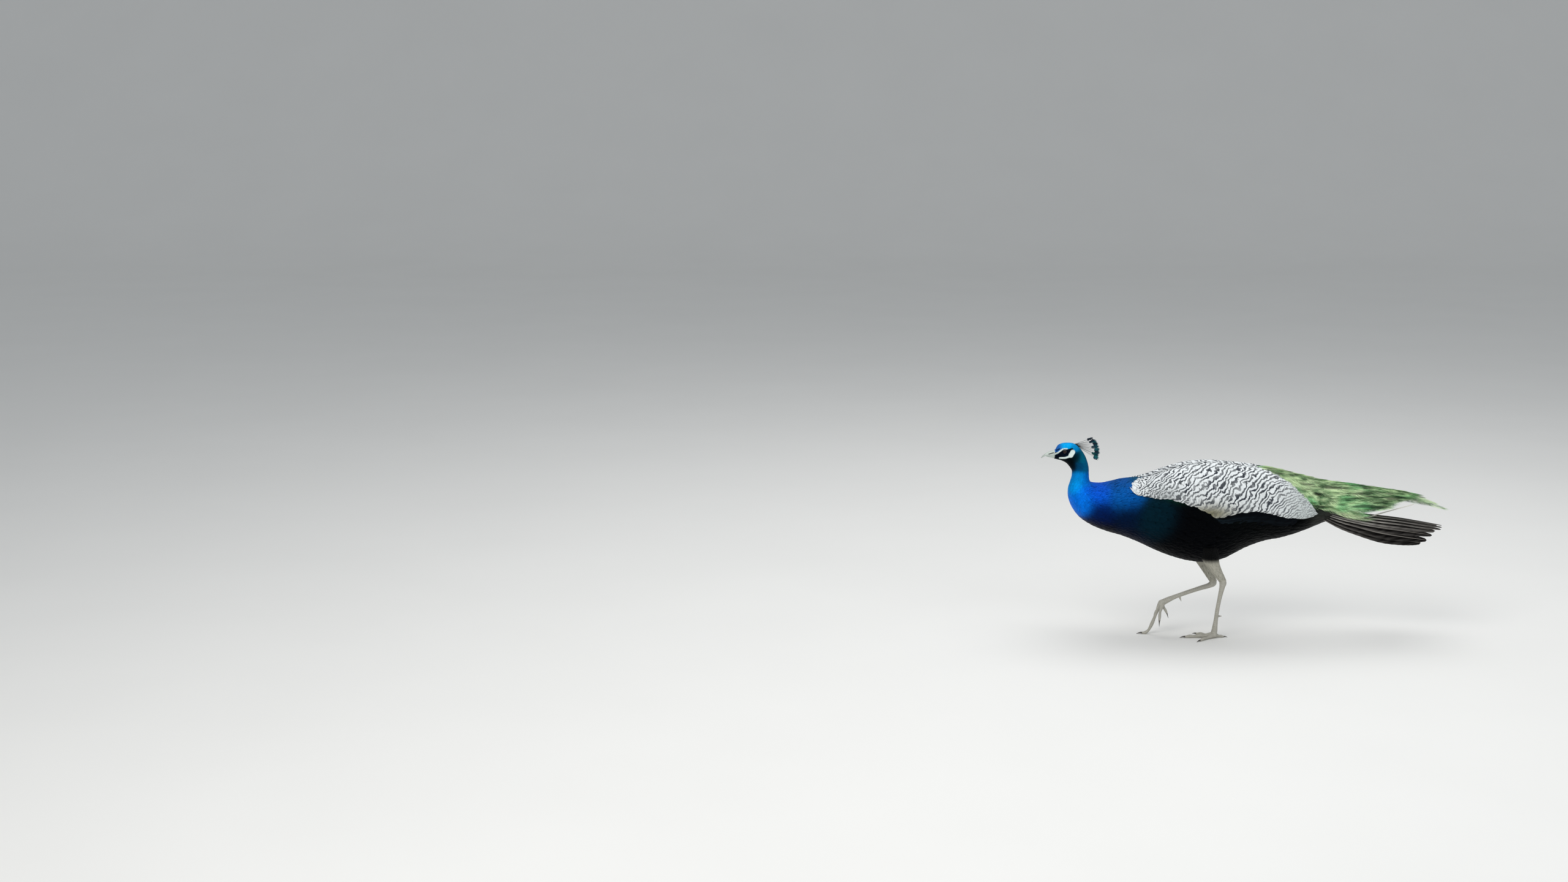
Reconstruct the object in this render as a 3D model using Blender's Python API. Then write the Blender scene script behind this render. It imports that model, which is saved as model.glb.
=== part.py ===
"""A peacock in moult, walking: a still, life-size model in solids.

Frame: metres, +Z up. The bird faces -X, so its left side is -Y. The floor is z = 0, and the
origin lies on it under the middle of the bird's length. The left foot is flat on the floor and
carries the bird. The right leg swings forward, and its middle toe touches the floor.

The body is one sweep of oval sections from the bill to the tail root, parted by thin gaps into
the parts that a person names. Wings and flight feathers are shells laid on that sweep. Train and
tail are vaults of feathers, one over the other, true in outline out to the tips.
"""

import math

import bmesh
import bpy
import numpy as np

# Driving dimensions
LENGTH = 1.062            # bill tip to the longest tail feather
GAP = 0.0004              # between solids that touch
SHELL_GAP = 0.0014        # under the wings, whose flat facets bridge the body's
FRONT, REAR = -LENGTH / 2, LENGTH / 2

# Body sections, head to tail root. Each is flat, and runs from a point on the back line to one on
# the belly line, both (x, z). Level says how far up from the belly the section is widest.
BODY = {
    #               back line          belly line        half width  level
    "bill_base":   ((-0.4940, 0.500), (-0.4950, 0.4760), 0.0085, 0.50),
    "forehead":    ((-0.4880, 0.511), (-0.4870, 0.4740), 0.0130, 0.50),
    "brow":        ((-0.4790, 0.516), (-0.4780, 0.4715), 0.0165, 0.50),
    "crown":       ((-0.4650, 0.518), (-0.4660, 0.4655), 0.0185, 0.50),
    "rear_crown":  ((-0.4470, 0.516), (-0.4570, 0.4560), 0.0188, 0.50),
    "nape":        ((-0.4310, 0.504), (-0.4505, 0.4460), 0.0182, 0.50),
    "upper_neck":  ((-0.4160, 0.482), (-0.4495, 0.4360), 0.0185, 0.50),
    "mid_neck":    ((-0.4075, 0.456), (-0.4505, 0.4270), 0.0205, 0.50),
    "lower_neck":  ((-0.4060, 0.436), (-0.4540, 0.4140), 0.0235, 0.50),
    "neck_base":   ((-0.4045, 0.422), (-0.4585, 0.3960), 0.0290, 0.50),
    "upper_breast": ((-0.4010, 0.415), (-0.4575, 0.3750), 0.0380, 0.50),
    "breast":      ((-0.3940, 0.412), (-0.4490, 0.3510), 0.0490, 0.50),
    "crop":        ((-0.3830, 0.4105), (-0.4310, 0.3260), 0.0600, 0.50),
    "low_breast":  ((-0.3670, 0.4105), (-0.4000, 0.3040), 0.0690, 0.52),
    "shoulder":    ((-0.3460, 0.4145), (-0.3620, 0.2880), 0.0765, 0.54),
    "wrist":       ((-0.3200, 0.421), (-0.3200, 0.2755), 0.0820, 0.55),
    "keel":        ((-0.2900, 0.4245), (-0.2800, 0.2600), 0.0865, 0.56),
    "flank":       ((-0.2450, 0.433), (-0.2360, 0.2390), 0.0905, 0.56),
    "saddle":      ((-0.2000, 0.449), (-0.1920, 0.2210), 0.0925, 0.56),
    "deepest":     ((-0.1500, 0.462), (-0.1460, 0.2080), 0.0925, 0.56),
    "thigh_root":  ((-0.1000, 0.4665), (-0.0980, 0.2030), 0.0905, 0.56),
    "vent":        ((-0.0500, 0.464), (-0.0530, 0.2120), 0.0865, 0.56),
    "rear_flank":  ((0.0000, 0.459), (0.0000, 0.2400), 0.0800, 0.56),
    "hip":         ((0.0500, 0.454), (0.0500, 0.2590), 0.0725, 0.56),
    "rump":        ((0.1000, 0.444), (0.1000, 0.2690), 0.0635, 0.55),
    "tail_covert": ((0.1500, 0.431), (0.1500, 0.2850), 0.0545, 0.54),
    "tail_root":   ((0.2000, 0.419), (0.2000, 0.3060), 0.0460, 0.52),
}
BODY_FULLNESS = 2.15      # power of the sections' outline: 2 is an ellipse, more is squarer
BODY_SIDES = 22           # corners of a section
HEAD_STEP, TRUNK_STEP = 0.010, 0.0225  # distances between rings along the body

# The train's underside, a plane through two (x, z) points: it parts the train from the rump.
TRAIN_SPLIT = ((0.030, 0.444), (0.205, 0.352))
TRAIN_START = 0.030

# Wings: where along the body, and between which angles from the back line, in degrees.
WING_OUTLINE = [
    # x       upper  lower
    (-0.302, 29.0, 37.0),
    (-0.292, 19.0, 49.0),
    (-0.265, 12.0, 57.0),
    (-0.200, 8.0, 68.0),
    (-0.130, 7.0, 83.0),
    (-0.081, 7.0, 92.0),
    (-0.035, 8.0, 91.0),
    (0.020, 13.0, 95.0),
    (0.070, 30.0, 102.0),
    (0.118, 55.0, 109.0),
    (0.150, 78.0, 113.0),
    (0.174, 101.0, 110.0),
]
WING_THICKNESS = 0.0085
# Flight feathers start at the wing's lower edge and show below it by this many degrees.
FLIGHT_OUTLINE = [
    # x       shown
    (-0.170, 2.5),
    (-0.110, 9.0),
    (-0.050, 15.0),
    (0.010, 19.5),
    (0.070, 22.0),
    (0.112, 24.0),
    (0.136, 15.0),
]
FLIGHT_THICKNESS = 0.0045
FLIGHT_PARTING = 0.9      # degrees between the wing's edge and the flight feathers
SHELL_EDGE = 0.0012       # thickness of wing shells along their edges
WING_ROWS, FLIGHT_ROWS = 23, 16

# Bill: (x, top z, bottom z, half width), from its base to its tip.
UPPER_BILL = [
    (-0.4958, 0.4990, 0.4842, 0.0078),
    (-0.5050, 0.4968, 0.4845, 0.0064),
    (-0.5150, 0.4925, 0.4842, 0.0047),
    (-0.5230, 0.4875, 0.4822, 0.0031),
    (-0.5280, 0.4825, 0.4790, 0.0017),
    (FRONT, 0.4785, 0.4775, 0.0005),
]
LOWER_BILL = [
    (-0.4958, 0.4838, 0.4765, 0.0066),
    (-0.5050, 0.4840, 0.4785, 0.0052),
    (-0.5130, 0.4836, 0.4806, 0.0031),
    (-0.5175, 0.4828, 0.4818, 0.0010),
]
EYE_CENTRE = (-0.4715, 0.0129, 0.4972)
EYE_RADIUS = 0.0057

# Crest: bare shafts with oval tips, fanned in the bird's middle plane.
CREST_ROOT = (-0.4410, 0.5170)
CREST_PLUMES = 7
CREST_ANGLES = (16.0, -36.0)          # of the first and last shaft, up from +X
CREST_LENGTHS = (0.043, 0.066)        # of the first and last plumes
CREST_TIP = (0.0070, 0.0026)          # half length and half width of an oval tip
CREST_TIP_TURN = 158.0                # degrees from an oval's far end to where its shaft joins
CREST_TIP_CORNERS = 7
CREST_SHAFT = 0.0006                  # half width of a shaft
CREST_BARE = 0.009                    # from the root, where the shafts part
CREST_BASE = [(0.002, -0.0035), (-0.004, 0.0005), (-0.001, 0.0035)]  # corners round the root
CREST_THICKNESS = 0.0018

# Train and tail are vaults of overlapping feathers: the ridge line, and how far the edges spread
# and drop from it. Each ends in feather tips, graded towards the sides.
LOWER_SHARE = 0.8         # of a vault's thickness that its underside lies below its top
GRADE_POWER = 1.6         # of the share of the half width, by which the tips are graded
TRAIN = [
    # x      ridge z  half width  drop
    (0.2004, 0.4185, 0.0455, 0.0600),
    (0.2400, 0.4130, 0.0490, 0.0620),
    (0.2900, 0.4060, 0.0500, 0.0590),
    (0.3400, 0.3985, 0.0470, 0.0500),
    (0.3800, 0.3925, 0.0420, 0.0400),
    (0.4150, 0.3870, 0.0350, 0.0300),
    (0.4450, 0.3800, 0.0290, 0.0220),
]
TRAIN_STYLE = {
    "roundness": 82.0, "thickness": (0.0200, 0.0050), "grade": 0.105,
    "feathers": 12, "notch": 0.016, "partings": (-1.0, -0.45, 0.45, 1.0),
}
TAIL = [
    (0.2004, 0.3450, 0.0380, 0.0260),
    (0.2400, 0.3370, 0.0440, 0.0400),
    (0.2950, 0.3290, 0.0510, 0.0520),
    (0.3500, 0.3230, 0.0570, 0.0620),
    (0.4000, 0.3170, 0.0610, 0.0620),
    (0.4700, 0.3050, 0.0650, 0.0530),
    (REAR, 0.2930, 0.0670, 0.0450),
]
TAIL_STYLE = {
    "roundness": 38.0, "thickness": (0.0180, 0.0034), "grade": 0.062,
    "feathers": 16, "notch": 0.007, "partings": (-1.0, -0.34, 0.34, 1.0),
}
# Loose plumes that stand out of the train: (tip x, tip y, tip z, half width).
LOOSE_PLUMES = [
    (0.528, -0.022, 0.344, 0.0055),
    (0.470, 0.010, 0.370, 0.0060),
]
PLUME_ROOT = (0.340, 0.3956)          # x and z where the loose plumes leave the train
PLUME_THICKNESS = 0.0021              # half of it, at the root
PLUME_THINNING, PLUME_TAPER = 0.62, 0.85  # shares of its thickness and width lost by the tip
PLUME_DROOP = 1.3                     # power of the share of its length, by which it droops

# Legs: centre line points (x, z) with radii, hip to hock and hock to toe joint.
LEFT, RIGHT = -1, 1
HIP_OFFSET = 0.046                    # of the thigh's top from the middle plane
HOCK_OFFSET = 0.036
FOOT_OFFSET = 0.019                   # the legs lean inwards, so that the feet stand under the body
THIGH = {
    LEFT: [(-0.098, 0.262, 0.034), (-0.092, 0.232, 0.025), (-0.082, 0.204, 0.0165),
           (-0.067, 0.178, 0.0115), (-0.0565, 0.1615, 0.0092)],
    RIGHT: [(-0.118, 0.262, 0.034), (-0.109, 0.230, 0.025), (-0.097, 0.200, 0.0165),
            (-0.079, 0.166, 0.0115), (-0.0665, 0.1435, 0.0092)],
}
SHANK = {
    LEFT: [(-0.0560, 0.1605, 0.0086), (-0.0535, 0.1530, 0.0092), (-0.0545, 0.1430, 0.0076),
           (-0.0585, 0.1180, 0.0058), (-0.0635, 0.0800, 0.0053), (-0.0665, 0.0430, 0.0058),
           (-0.0675, 0.0290, 0.0070), (-0.0680, 0.0202, 0.0078)],
    RIGHT: [(-0.0660, 0.1425, 0.0086), (-0.0650, 0.1350, 0.0092), (-0.0720, 0.1302, 0.0076),
            (-0.0970, 0.1225, 0.0060), (-0.1330, 0.1115, 0.0055), (-0.1710, 0.0985, 0.0060),
            (-0.1840, 0.0930, 0.0072), (-0.1930, 0.0888, 0.0078)],
}
SPUR_AT = 0.72                        # of the way down the shank
SPUR_LENGTH, SPUR_RADIUS = 0.015, 0.0035
SPUR_START = 0.002                    # from the shank's centre line
SPUR_TURN = 0.35                      # how far it points inwards, for one backwards
PALM_RADII = (0.0118, 0.0102)         # across and in height
PALM = {LEFT: (-0.0700, 0.0086), RIGHT: (-0.2030, 0.0835)}  # centre, (x, z)
PALM_TILT = {LEFT: 0.0, RIGHT: 62.0}  # degrees that the foot points down
HANGING_REAR_TOE = -40.0              # tilt of the lifted foot's rear toe

# Toes: sideways angle from straight ahead, length to the claw's root, radius at the base.
TOES = {
    "middle": (0.0, 0.074, 0.0045),
    "inner": (-40.0, 0.050, 0.0041),
    "outer": (40.0, 0.054, 0.0041),
    "rear": (188.0, 0.028, 0.0034),
}
TOE_START = 0.0104                    # from the palm's centre
TOE_TAPER = 0.80
TOE_ARCH = 0.0015                     # rise of a standing toe between its ends
TOE_CURL = (0.004, 0.006)             # drop of a hanging toe at its root, and added at its end
KNUCKLES = 0.13                       # swelling of a toe's joints, as a share of its radius
TOE_SIDES, CLAW_SIDES = 8, 6
TOE_RINGS, CLAW_RINGS = 7, 5
CLAW_LENGTH = {"middle": 0.0150, "inner": 0.0130, "outer": 0.0130, "rear": 0.0110}
CLAW_BASE, CLAW_TAPER = 0.82, 0.88    # radius beside the toe's end, and the share lost by the tip
CLAW_HOOK = 0.35                      # drop of a free claw's tip, as a share of its length
FLOOR_PRESS = 0.0006                  # how deep a pad's round underside is cut off flat
STANDING_HEIGHT = 0.006               # a toe whose end is lower than this stands on the floor
# The right middle toe reaches down and lies flat at its end: its centre line, (x, z).
REACHING_TOE = [(-0.2082, 0.0750), (-0.2170, 0.0520), (-0.2255, 0.0290), (-0.2340, 0.0112),
                (-0.2430, 0.0036), (-0.2515, 0.0030)]

COLOURS = {
    "blue_plumage": ((0.010, 0.160, 0.620), 0.42, 0.25),
    "dark_plumage": ((0.004, 0.022, 0.035), 0.50, 0.15),
    "crest_plumage": ((0.020, 0.130, 0.180), 0.45, 0.20),
    "barred_plumage": ((0.600, 0.600, 0.540), 0.75, 0.0),
    "flight_plumage": ((0.012, 0.022, 0.030), 0.50, 0.0),
    "train_plumage": ((0.160, 0.270, 0.130), 0.50, 0.20),
    "tail_plumage": ((0.045, 0.038, 0.035), 0.65, 0.0),
    "leg_plumage": ((0.330, 0.310, 0.270), 0.80, 0.0),
    "bill_horn": ((0.480, 0.470, 0.420), 0.40, 0.0),
    "eye_surface": ((0.030, 0.018, 0.010), 0.08, 0.0),
    "scaled_skin": ((0.290, 0.280, 0.250), 0.60, 0.0),
    "claw_horn": ((0.120, 0.110, 0.095), 0.45, 0.0),
}


# Materials and meshes

def make_materials():
    """One Principled material for each finish: colour, roughness, metallic."""
    made = {}
    for name, (colour, roughness, metallic) in COLOURS.items():
        material = bpy.data.materials.new(name)
        material.use_nodes = True
        shader = material.node_tree.nodes["Principled BSDF"]
        shader.inputs["Base Color"].default_value = (*colour, 1.0)
        shader.inputs["Roughness"].default_value = roughness
        shader.inputs["Metallic"].default_value = metallic
        made[name] = material
    return made


def add_object(name, mesh, material):
    """Puts a finished mesh in the scene under its part's name."""
    mesh.materials.clear()
    mesh.materials.append(material)
    part = bpy.data.objects.new(name, mesh)
    bpy.context.scene.collection.objects.link(part)
    return part


def mesh_from(name, points, faces, smooth_angle=40.0):
    """Mesh from points and faces, with its faces turned outwards."""
    mesh = bpy.data.meshes.new(name)
    mesh.from_pydata([tuple(p) for p in points], [], faces)
    work = bmesh.new()
    work.from_mesh(mesh)
    bmesh.ops.recalc_face_normals(work, faces=work.faces)
    work.to_mesh(mesh)
    work.free()
    mesh.shade_smooth()
    mesh.set_sharp_from_angle(angle=math.radians(smooth_angle))
    return mesh


def tube(name, rings):
    """Closed mesh over a row of rings with equal numbers of points, with flat ends."""
    rings = np.asarray(rings)
    count, sides = rings.shape[:2]
    faces = []
    for i in range(count - 1):
        for j in range(sides):
            k = (j + 1) % sides
            faces.append((i * sides + j, i * sides + k, (i + 1) * sides + k, (i + 1) * sides + j))
    faces.append(tuple(range(sides)))
    faces.append(tuple((count - 1) * sides + j for j in reversed(range(sides))))
    return mesh_from(name, rings.reshape(-1, 3), faces)


def plate(name, upper, lower):
    """Closed mesh between two grids of points that face each other, walled round the rim."""
    rows, columns = upper.shape[:2]
    points = np.concatenate([upper.reshape(-1, 3), lower.reshape(-1, 3)])
    under = rows * columns

    def at(i, j):
        return i * columns + j

    faces = []
    for i in range(rows - 1):
        for j in range(columns - 1):
            faces.append((at(i, j), at(i, j + 1), at(i + 1, j + 1), at(i + 1, j)))
            faces.append(tuple(under + k for k in
                               (at(i, j), at(i + 1, j), at(i + 1, j + 1), at(i, j + 1))))
    rim = [at(0, j) for j in range(columns)]
    rim += [at(i, columns - 1) for i in range(1, rows)]
    rim += [at(rows - 1, j) for j in range(columns - 2, -1, -1)]
    rim += [at(i, 0) for i in range(rows - 2, 0, -1)]
    for a, b in zip(rim, rim[1:] + rim[:1]):
        faces.append((a, b, under + b, under + a))
    return mesh_from(name, points, faces)


def boolean(part, tool, operation):
    """Applies an exact Boolean of tool to part, and removes the tool."""
    modifier = part.modifiers.new(operation.title(), "BOOLEAN")
    modifier.operation = operation
    modifier.solver = "EXACT"
    modifier.object = tool
    bpy.context.view_layer.update()
    graph = bpy.context.evaluated_depsgraph_get()
    result = bpy.data.meshes.new_from_object(part.evaluated_get(graph))
    part.modifiers.clear()
    part.data = result
    bpy.data.objects.remove(tool)
    return part


def smooth_through(knots, values, at):
    """Cubic pieces through the values, whose slope at each knot is that between its neighbours."""
    knots, values, at = np.asarray(knots), np.asarray(values), np.asarray(at)
    slopes = np.gradient(values, knots, axis=0)
    i = np.clip(np.searchsorted(knots, at, side="right") - 1, 0, len(knots) - 2)
    span = knots[i + 1] - knots[i]
    t = (at - knots[i]) / span
    t, span = t[:, None], span[:, None]
    return ((2 * t ** 3 - 3 * t ** 2 + 1) * values[i] + (t ** 3 - 2 * t ** 2 + t) * span * slopes[i]
            + (3 * t ** 2 - 2 * t ** 3) * values[i + 1] + (t ** 3 - t ** 2) * span * slopes[i + 1])


def signed_power(values, power):
    """Power of the size of each value, with the value's own sign."""
    return np.sign(values) * np.abs(values) ** power


# The body sweep

STATION_ROWS = np.array([[*back, *belly, width, level] for back, belly, width, level in BODY.values()])
STATION_MIDDLES = (STATION_ROWS[:, 0:2] + STATION_ROWS[:, 2:4]) / 2
STATION_AT = np.concatenate([[0.0], np.cumsum(
    np.linalg.norm(np.diff(STATION_MIDDLES, axis=0), axis=1))])
SHOULDER = list(BODY).index("shoulder")


def along(name):
    """Distance along the body of a named section."""
    return STATION_AT[list(BODY).index(name)]


def along_x(x):
    """Distance along the body of the section whose middle is at x, behind the shoulder."""
    return np.interp(x, STATION_MIDDLES[SHOULDER:, 0], STATION_AT[SHOULDER:])


def body_points(distance, angle, grow=0.0):
    """Points on the body's surface at a distance along it and an angle from the back line.

    Each section is an oval about its widest level: up and down by cosine, sideways by sine,
    both raised to 2 / fullness. Grow makes the section larger all round.
    """
    distance, angle = np.broadcast_arrays(distance, angle)
    rows = smooth_through(STATION_AT, STATION_ROWS, distance.ravel())
    back, belly, width, level = rows[:, 0:2], rows[:, 2:4], rows[:, 4], rows[:, 5]
    height = np.linalg.norm(back - belly, axis=1)
    up = (back - belly) / height[:, None]
    centre = belly + (back - belly) * level[:, None]
    cosine = signed_power(np.cos(angle.ravel()), 2 / BODY_FULLNESS)
    sine = signed_power(np.sin(angle.ravel()), 2 / BODY_FULLNESS)
    reach = np.where(cosine > 0, height * (1 - level), height * level) + grow
    flat = centre + up * (reach * cosine)[:, None]
    points = np.stack([flat[:, 0], (width + grow) * sine, flat[:, 1]], axis=1)
    return points.reshape(*distance.shape, 3)


def body_normals(distance, angle):
    """Outward directions on the body's surface, from its slopes along and around."""
    step = 1e-4
    ahead = body_points(distance + step, angle) - body_points(distance - step, angle)
    round_it = body_points(distance, angle + step) - body_points(distance, angle - step)
    normal = np.cross(ahead, round_it)
    return normal / np.linalg.norm(normal, axis=-1, keepdims=True)


def body_length(name, start, end, grow=0.0):
    """Closed solid of the body between two distances along it."""
    step = HEAD_STEP if end < along("breast") else TRUNK_STEP
    rings = max(2, round((end - start) / step) + 1)
    distance = np.linspace(start, end, rings)[:, None]
    angle = np.linspace(0, 2 * math.pi, BODY_SIDES, endpoint=False)[None, :]
    return tube(name, body_points(distance, angle, grow))


def cut_by_plane(mesh, point, normal):
    """Keeps the side of a closed mesh that a plane's normal points away from, and caps it."""
    work = bmesh.new()
    work.from_mesh(mesh)
    everything = work.verts[:] + work.edges[:] + work.faces[:]
    cut = bmesh.ops.bisect_plane(work, geom=everything, plane_co=point, plane_no=normal,
                                 clear_outer=True, dist=1e-7)
    rim = [item for item in cut["geom_cut"] if isinstance(item, bmesh.types.BMEdge)]
    bmesh.ops.edgeloop_fill(work, edges=rim)
    bmesh.ops.recalc_face_normals(work, faces=work.faces)
    work.to_mesh(mesh)
    work.free()
    return mesh


def make_body(materials):
    """Head, neck, breast, trunk and rump, and the train's root on top of the rump."""
    parts = [
        ("head", "bill_base", "upper_neck", "blue_plumage"),
        ("neck", "upper_neck", "neck_base", "blue_plumage"),
        ("breast", "neck_base", "wrist", "blue_plumage"),
    ]
    for name, first, last, finish in parts:
        start = along(first) + (GAP if first != "bill_base" else 0.0)
        add_object(name, body_length(name, start, along(last) - GAP), materials[finish])
    rear = along_x(TRAIN_START)
    add_object("trunk", body_length("trunk", along("wrist") + GAP, rear - GAP / 2),
               materials["dark_plumage"])
    (x0, z0), (x1, z1) = TRAIN_SPLIT
    up = np.array([z0 - z1, 0.0, x1 - x0])
    up /= np.linalg.norm(up)
    on_plane = np.array([x0, 0.0, z0])
    lower = body_length("rump", rear + GAP / 2, along("tail_root"))
    cut_by_plane(lower, tuple(on_plane - up * GAP / 2), tuple(up))
    add_object("rump", lower, materials["dark_plumage"])
    upper = body_length("train_root", rear + GAP / 2, along("tail_root"))
    cut_by_plane(upper, tuple(on_plane + up * GAP / 2), tuple(-up))
    add_object("train_root", upper, materials["train_plumage"])


# Head furniture

def bill_rings(rows, flat_side, sides=11):
    """Half-oval rings: domed on one side, flat on the side where the two halves of the bill meet.

    The dome is half an ellipse over the flat. flat_side is -1 for a flat bottom, 1 for a flat top.
    """
    angle = np.linspace(0, math.pi, sides - 2)
    rings = []
    for x, top, bottom, width in rows:
        y = width * np.cos(angle)
        height = (top - bottom) * np.sin(angle)
        z = bottom + height if flat_side < 0 else top - height
        rings.append(np.stack([np.full(len(angle), x), y, z], axis=1))
    return rings


def refine(rows, pieces):
    """More rows on a smooth curve through the given ones, in steps of their first column."""
    rows = np.asarray(rows)
    direction = np.sign(rows[-1, 0] - rows[0, 0])
    at = np.linspace(rows[0, 0], rows[-1, 0], pieces + 1)
    return smooth_through(rows[:, 0] * direction, rows, at * direction)


def make_bill(materials):
    """The two halves of the bill. The upper one hooks over the lower at its tip."""
    upper = tube("bill_upper", bill_rings(refine(UPPER_BILL, 8), -1))
    lower = tube("bill_lower", bill_rings(refine(LOWER_BILL, 5), 1))
    add_object("bill_upper", upper, materials["bill_horn"])
    add_object("bill_lower", lower, materials["bill_horn"])


def ball(name, centre, radius, segments=12, rings=8):
    """A round ball."""
    work = bmesh.new()
    bmesh.ops.create_uvsphere(work, u_segments=segments, v_segments=rings, radius=radius)
    bmesh.ops.translate(work, verts=work.verts, vec=centre)
    mesh = bpy.data.meshes.new(name)
    work.to_mesh(mesh)
    work.free()
    mesh.shade_smooth()
    return mesh


def make_eyes(materials):
    """Eyeballs, each in a socket that is cut into the head."""
    head = bpy.data.objects["head"]
    for side_name, side in (("left", LEFT), ("right", RIGHT)):
        centre = (EYE_CENTRE[0], side * EYE_CENTRE[1], EYE_CENTRE[2])
        socket = add_object("socket", ball("socket", centre, EYE_RADIUS + GAP), head.data.materials[0])
        boolean(head, socket, "DIFFERENCE")
        name = "eye_" + side_name
        add_object(name, ball(name, centre, EYE_RADIUS), materials["eye_surface"])


def crest_outline():
    """Outline of the crest in the middle plane: out along each shaft, round its tip and back."""
    root = np.array(CREST_ROOT)
    outline = []
    half_length, half_width = CREST_TIP
    bends = np.radians(np.linspace(CREST_TIP_TURN, -CREST_TIP_TURN, CREST_TIP_CORNERS))
    for k in range(CREST_PLUMES):
        share = k / (CREST_PLUMES - 1)
        angle = math.radians(CREST_ANGLES[0] + (CREST_ANGLES[1] - CREST_ANGLES[0]) * share)
        length = CREST_LENGTHS[0] + (CREST_LENGTHS[1] - CREST_LENGTHS[0]) * math.cbrt(share)
        out = np.array([math.cos(angle), math.sin(angle)])
        side = np.array([-out[1], out[0]])
        start = root + out * CREST_BARE
        tip_centre = root + out * (length - half_length)
        outline.append(start + side * CREST_SHAFT)
        for bend in bends:
            outline.append(tip_centre + out * half_length * math.cos(bend)
                           + side * half_width * math.sin(bend))
        outline.append(start - side * CREST_SHAFT)
    return np.array(outline + [root + np.array(corner) for corner in CREST_BASE])


def make_crest(materials):
    """The crest, one flat fan cut to the outline of its shafts and tips."""
    outline = crest_outline()
    count = len(outline)
    half = CREST_THICKNESS / 2
    sheets = [np.stack([outline[:, 0], np.full(count, y), outline[:, 1]], axis=1) for y in (-half, half)]
    faces = [tuple(range(count)), tuple(reversed(range(count, 2 * count)))]
    for a in range(count):
        b = (a + 1) % count
        faces.append((a, b, count + b, count + a))
    crest = add_object("crest", mesh_from("crest", np.concatenate(sheets), faces),
                       materials["crest_plumage"])
    grown_head = add_object("grown_head", body_length("grown_head", along("brow"), along("nape"), GAP),
                            materials["blue_plumage"])
    boolean(crest, grown_head, "DIFFERENCE")


# Wings

def wing_edges(x):
    """Upper and lower edge of the wing at x, in degrees from the back line."""
    outline = np.array(WING_OUTLINE)
    return smooth_through(outline[:, 0], outline[:, 1:], x)


def flight_edges(x):
    """Upper and lower edge of the flight feathers at x, in degrees from the back line."""
    outline = np.array(FLIGHT_OUTLINE)
    upper = wing_edges(x)[:, 1:2] + FLIGHT_PARTING
    return np.hstack([upper, upper + smooth_through(outline[:, 0], outline[:, 1:], x)])


def shell_on_body(name, x, edges, thickness, side, columns):
    """A shell that follows the body between two edges, thickest in the middle.

    Its thickness swells from the edges by the fourth root of a parabola, so that the wing has a
    rounded rim and a broad, even face.
    """
    rows = len(x)
    across = np.linspace(0.0, 1.0, columns)
    angle = np.radians(edges[:, 0:1] + (edges[:, 1:2] - edges[:, 0:1]) * across[None, :])
    distance = np.broadcast_to(along_x(x)[:, None], angle.shape)
    length_share = np.linspace(0.0, 1.0, rows)[:, None]
    swell = (4 * across * (1 - across))[None, :] * (4 * length_share * (1 - length_share))
    depth = SHELL_EDGE + (thickness - SHELL_EDGE) * swell ** 0.25
    surface = body_points(distance, angle)
    normal = body_normals(distance, angle)
    inner = surface + normal * SHELL_GAP
    outer = surface + normal * (SHELL_GAP + depth[..., None])
    if side == LEFT:
        inner = inner * (1, -1, 1)
        outer = outer * (1, -1, 1)
    return plate(name, outer, inner)


def make_wings(materials):
    """On each side, the barred upper wing and the dark flight feathers that show below it."""
    wing_x = np.linspace(WING_OUTLINE[0][0], WING_OUTLINE[-1][0], WING_ROWS)
    flight_x = np.linspace(FLIGHT_OUTLINE[0][0], FLIGHT_OUTLINE[-1][0], FLIGHT_ROWS)
    for side_name, side in (("left", LEFT), ("right", RIGHT)):
        name = "wing_" + side_name
        wing = shell_on_body(name, wing_x, wing_edges(wing_x), WING_THICKNESS, side, 8)
        add_object(name, wing, materials["barred_plumage"])
        name = "flight_" + side_name
        flight = shell_on_body(name, flight_x, flight_edges(flight_x), FLIGHT_THICKNESS, side, 4)
        add_object(name, flight, materials["flight_plumage"])


# Train and tail

def vault_part(name, table, style, first, last, rows=7, columns=9):
    """Part of a vault of feathers between two shares of its half width, as a plate.

    Across, the vault is an arc: sideways by the sine of an angle that grows with the share, down by
    one minus its cosine. Along, the plate thins from root to tip. Its end is graded by a power of
    the share, and notched between feathers by the size of a sine.
    """
    table = np.array(table)
    margin = GAP / table[0, 2]
    low = first + margin if first > -1 else first
    high = last - margin if last < 1 else last
    across = np.linspace(low, high, columns)
    notch = style["notch"] * (1 - np.abs(np.sin(math.pi * (across + 1) / 2 * style["feathers"])))
    end = table[-1, 0] - style["grade"] * np.abs(across) ** GRADE_POWER - notch
    if first < 0 < last:
        end += table[-1, 0] - end.max()
    share = np.linspace(0.0, 1.0, rows)[:, None]
    x = table[0, 0] + (end[None, :] - table[0, 0]) * share
    shape = smooth_through(table[:, 0], table[:, 1:], x.ravel()).reshape(*x.shape, 3)
    ridge, width, drop = shape[..., 0], shape[..., 1], shape[..., 2]
    bend = math.radians(style["roundness"])
    sideways = np.sin(across * bend) / math.sin(bend)
    downward = (1 - np.cos(across * bend)) / (1 - math.cos(bend))
    root_thick, tip_thick = style["thickness"]
    thick = tip_thick + (root_thick - tip_thick) * (1 - share) ** 2
    upper = np.stack([x, width * sideways, ridge - drop * downward], axis=-1)
    inset = 1 - thick / width * np.abs(across) * math.sin(bend)
    lower = np.stack([x, width * sideways * inset, ridge - drop * downward - thick * LOWER_SHARE], axis=-1)
    return plate(name, upper, lower)


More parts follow.
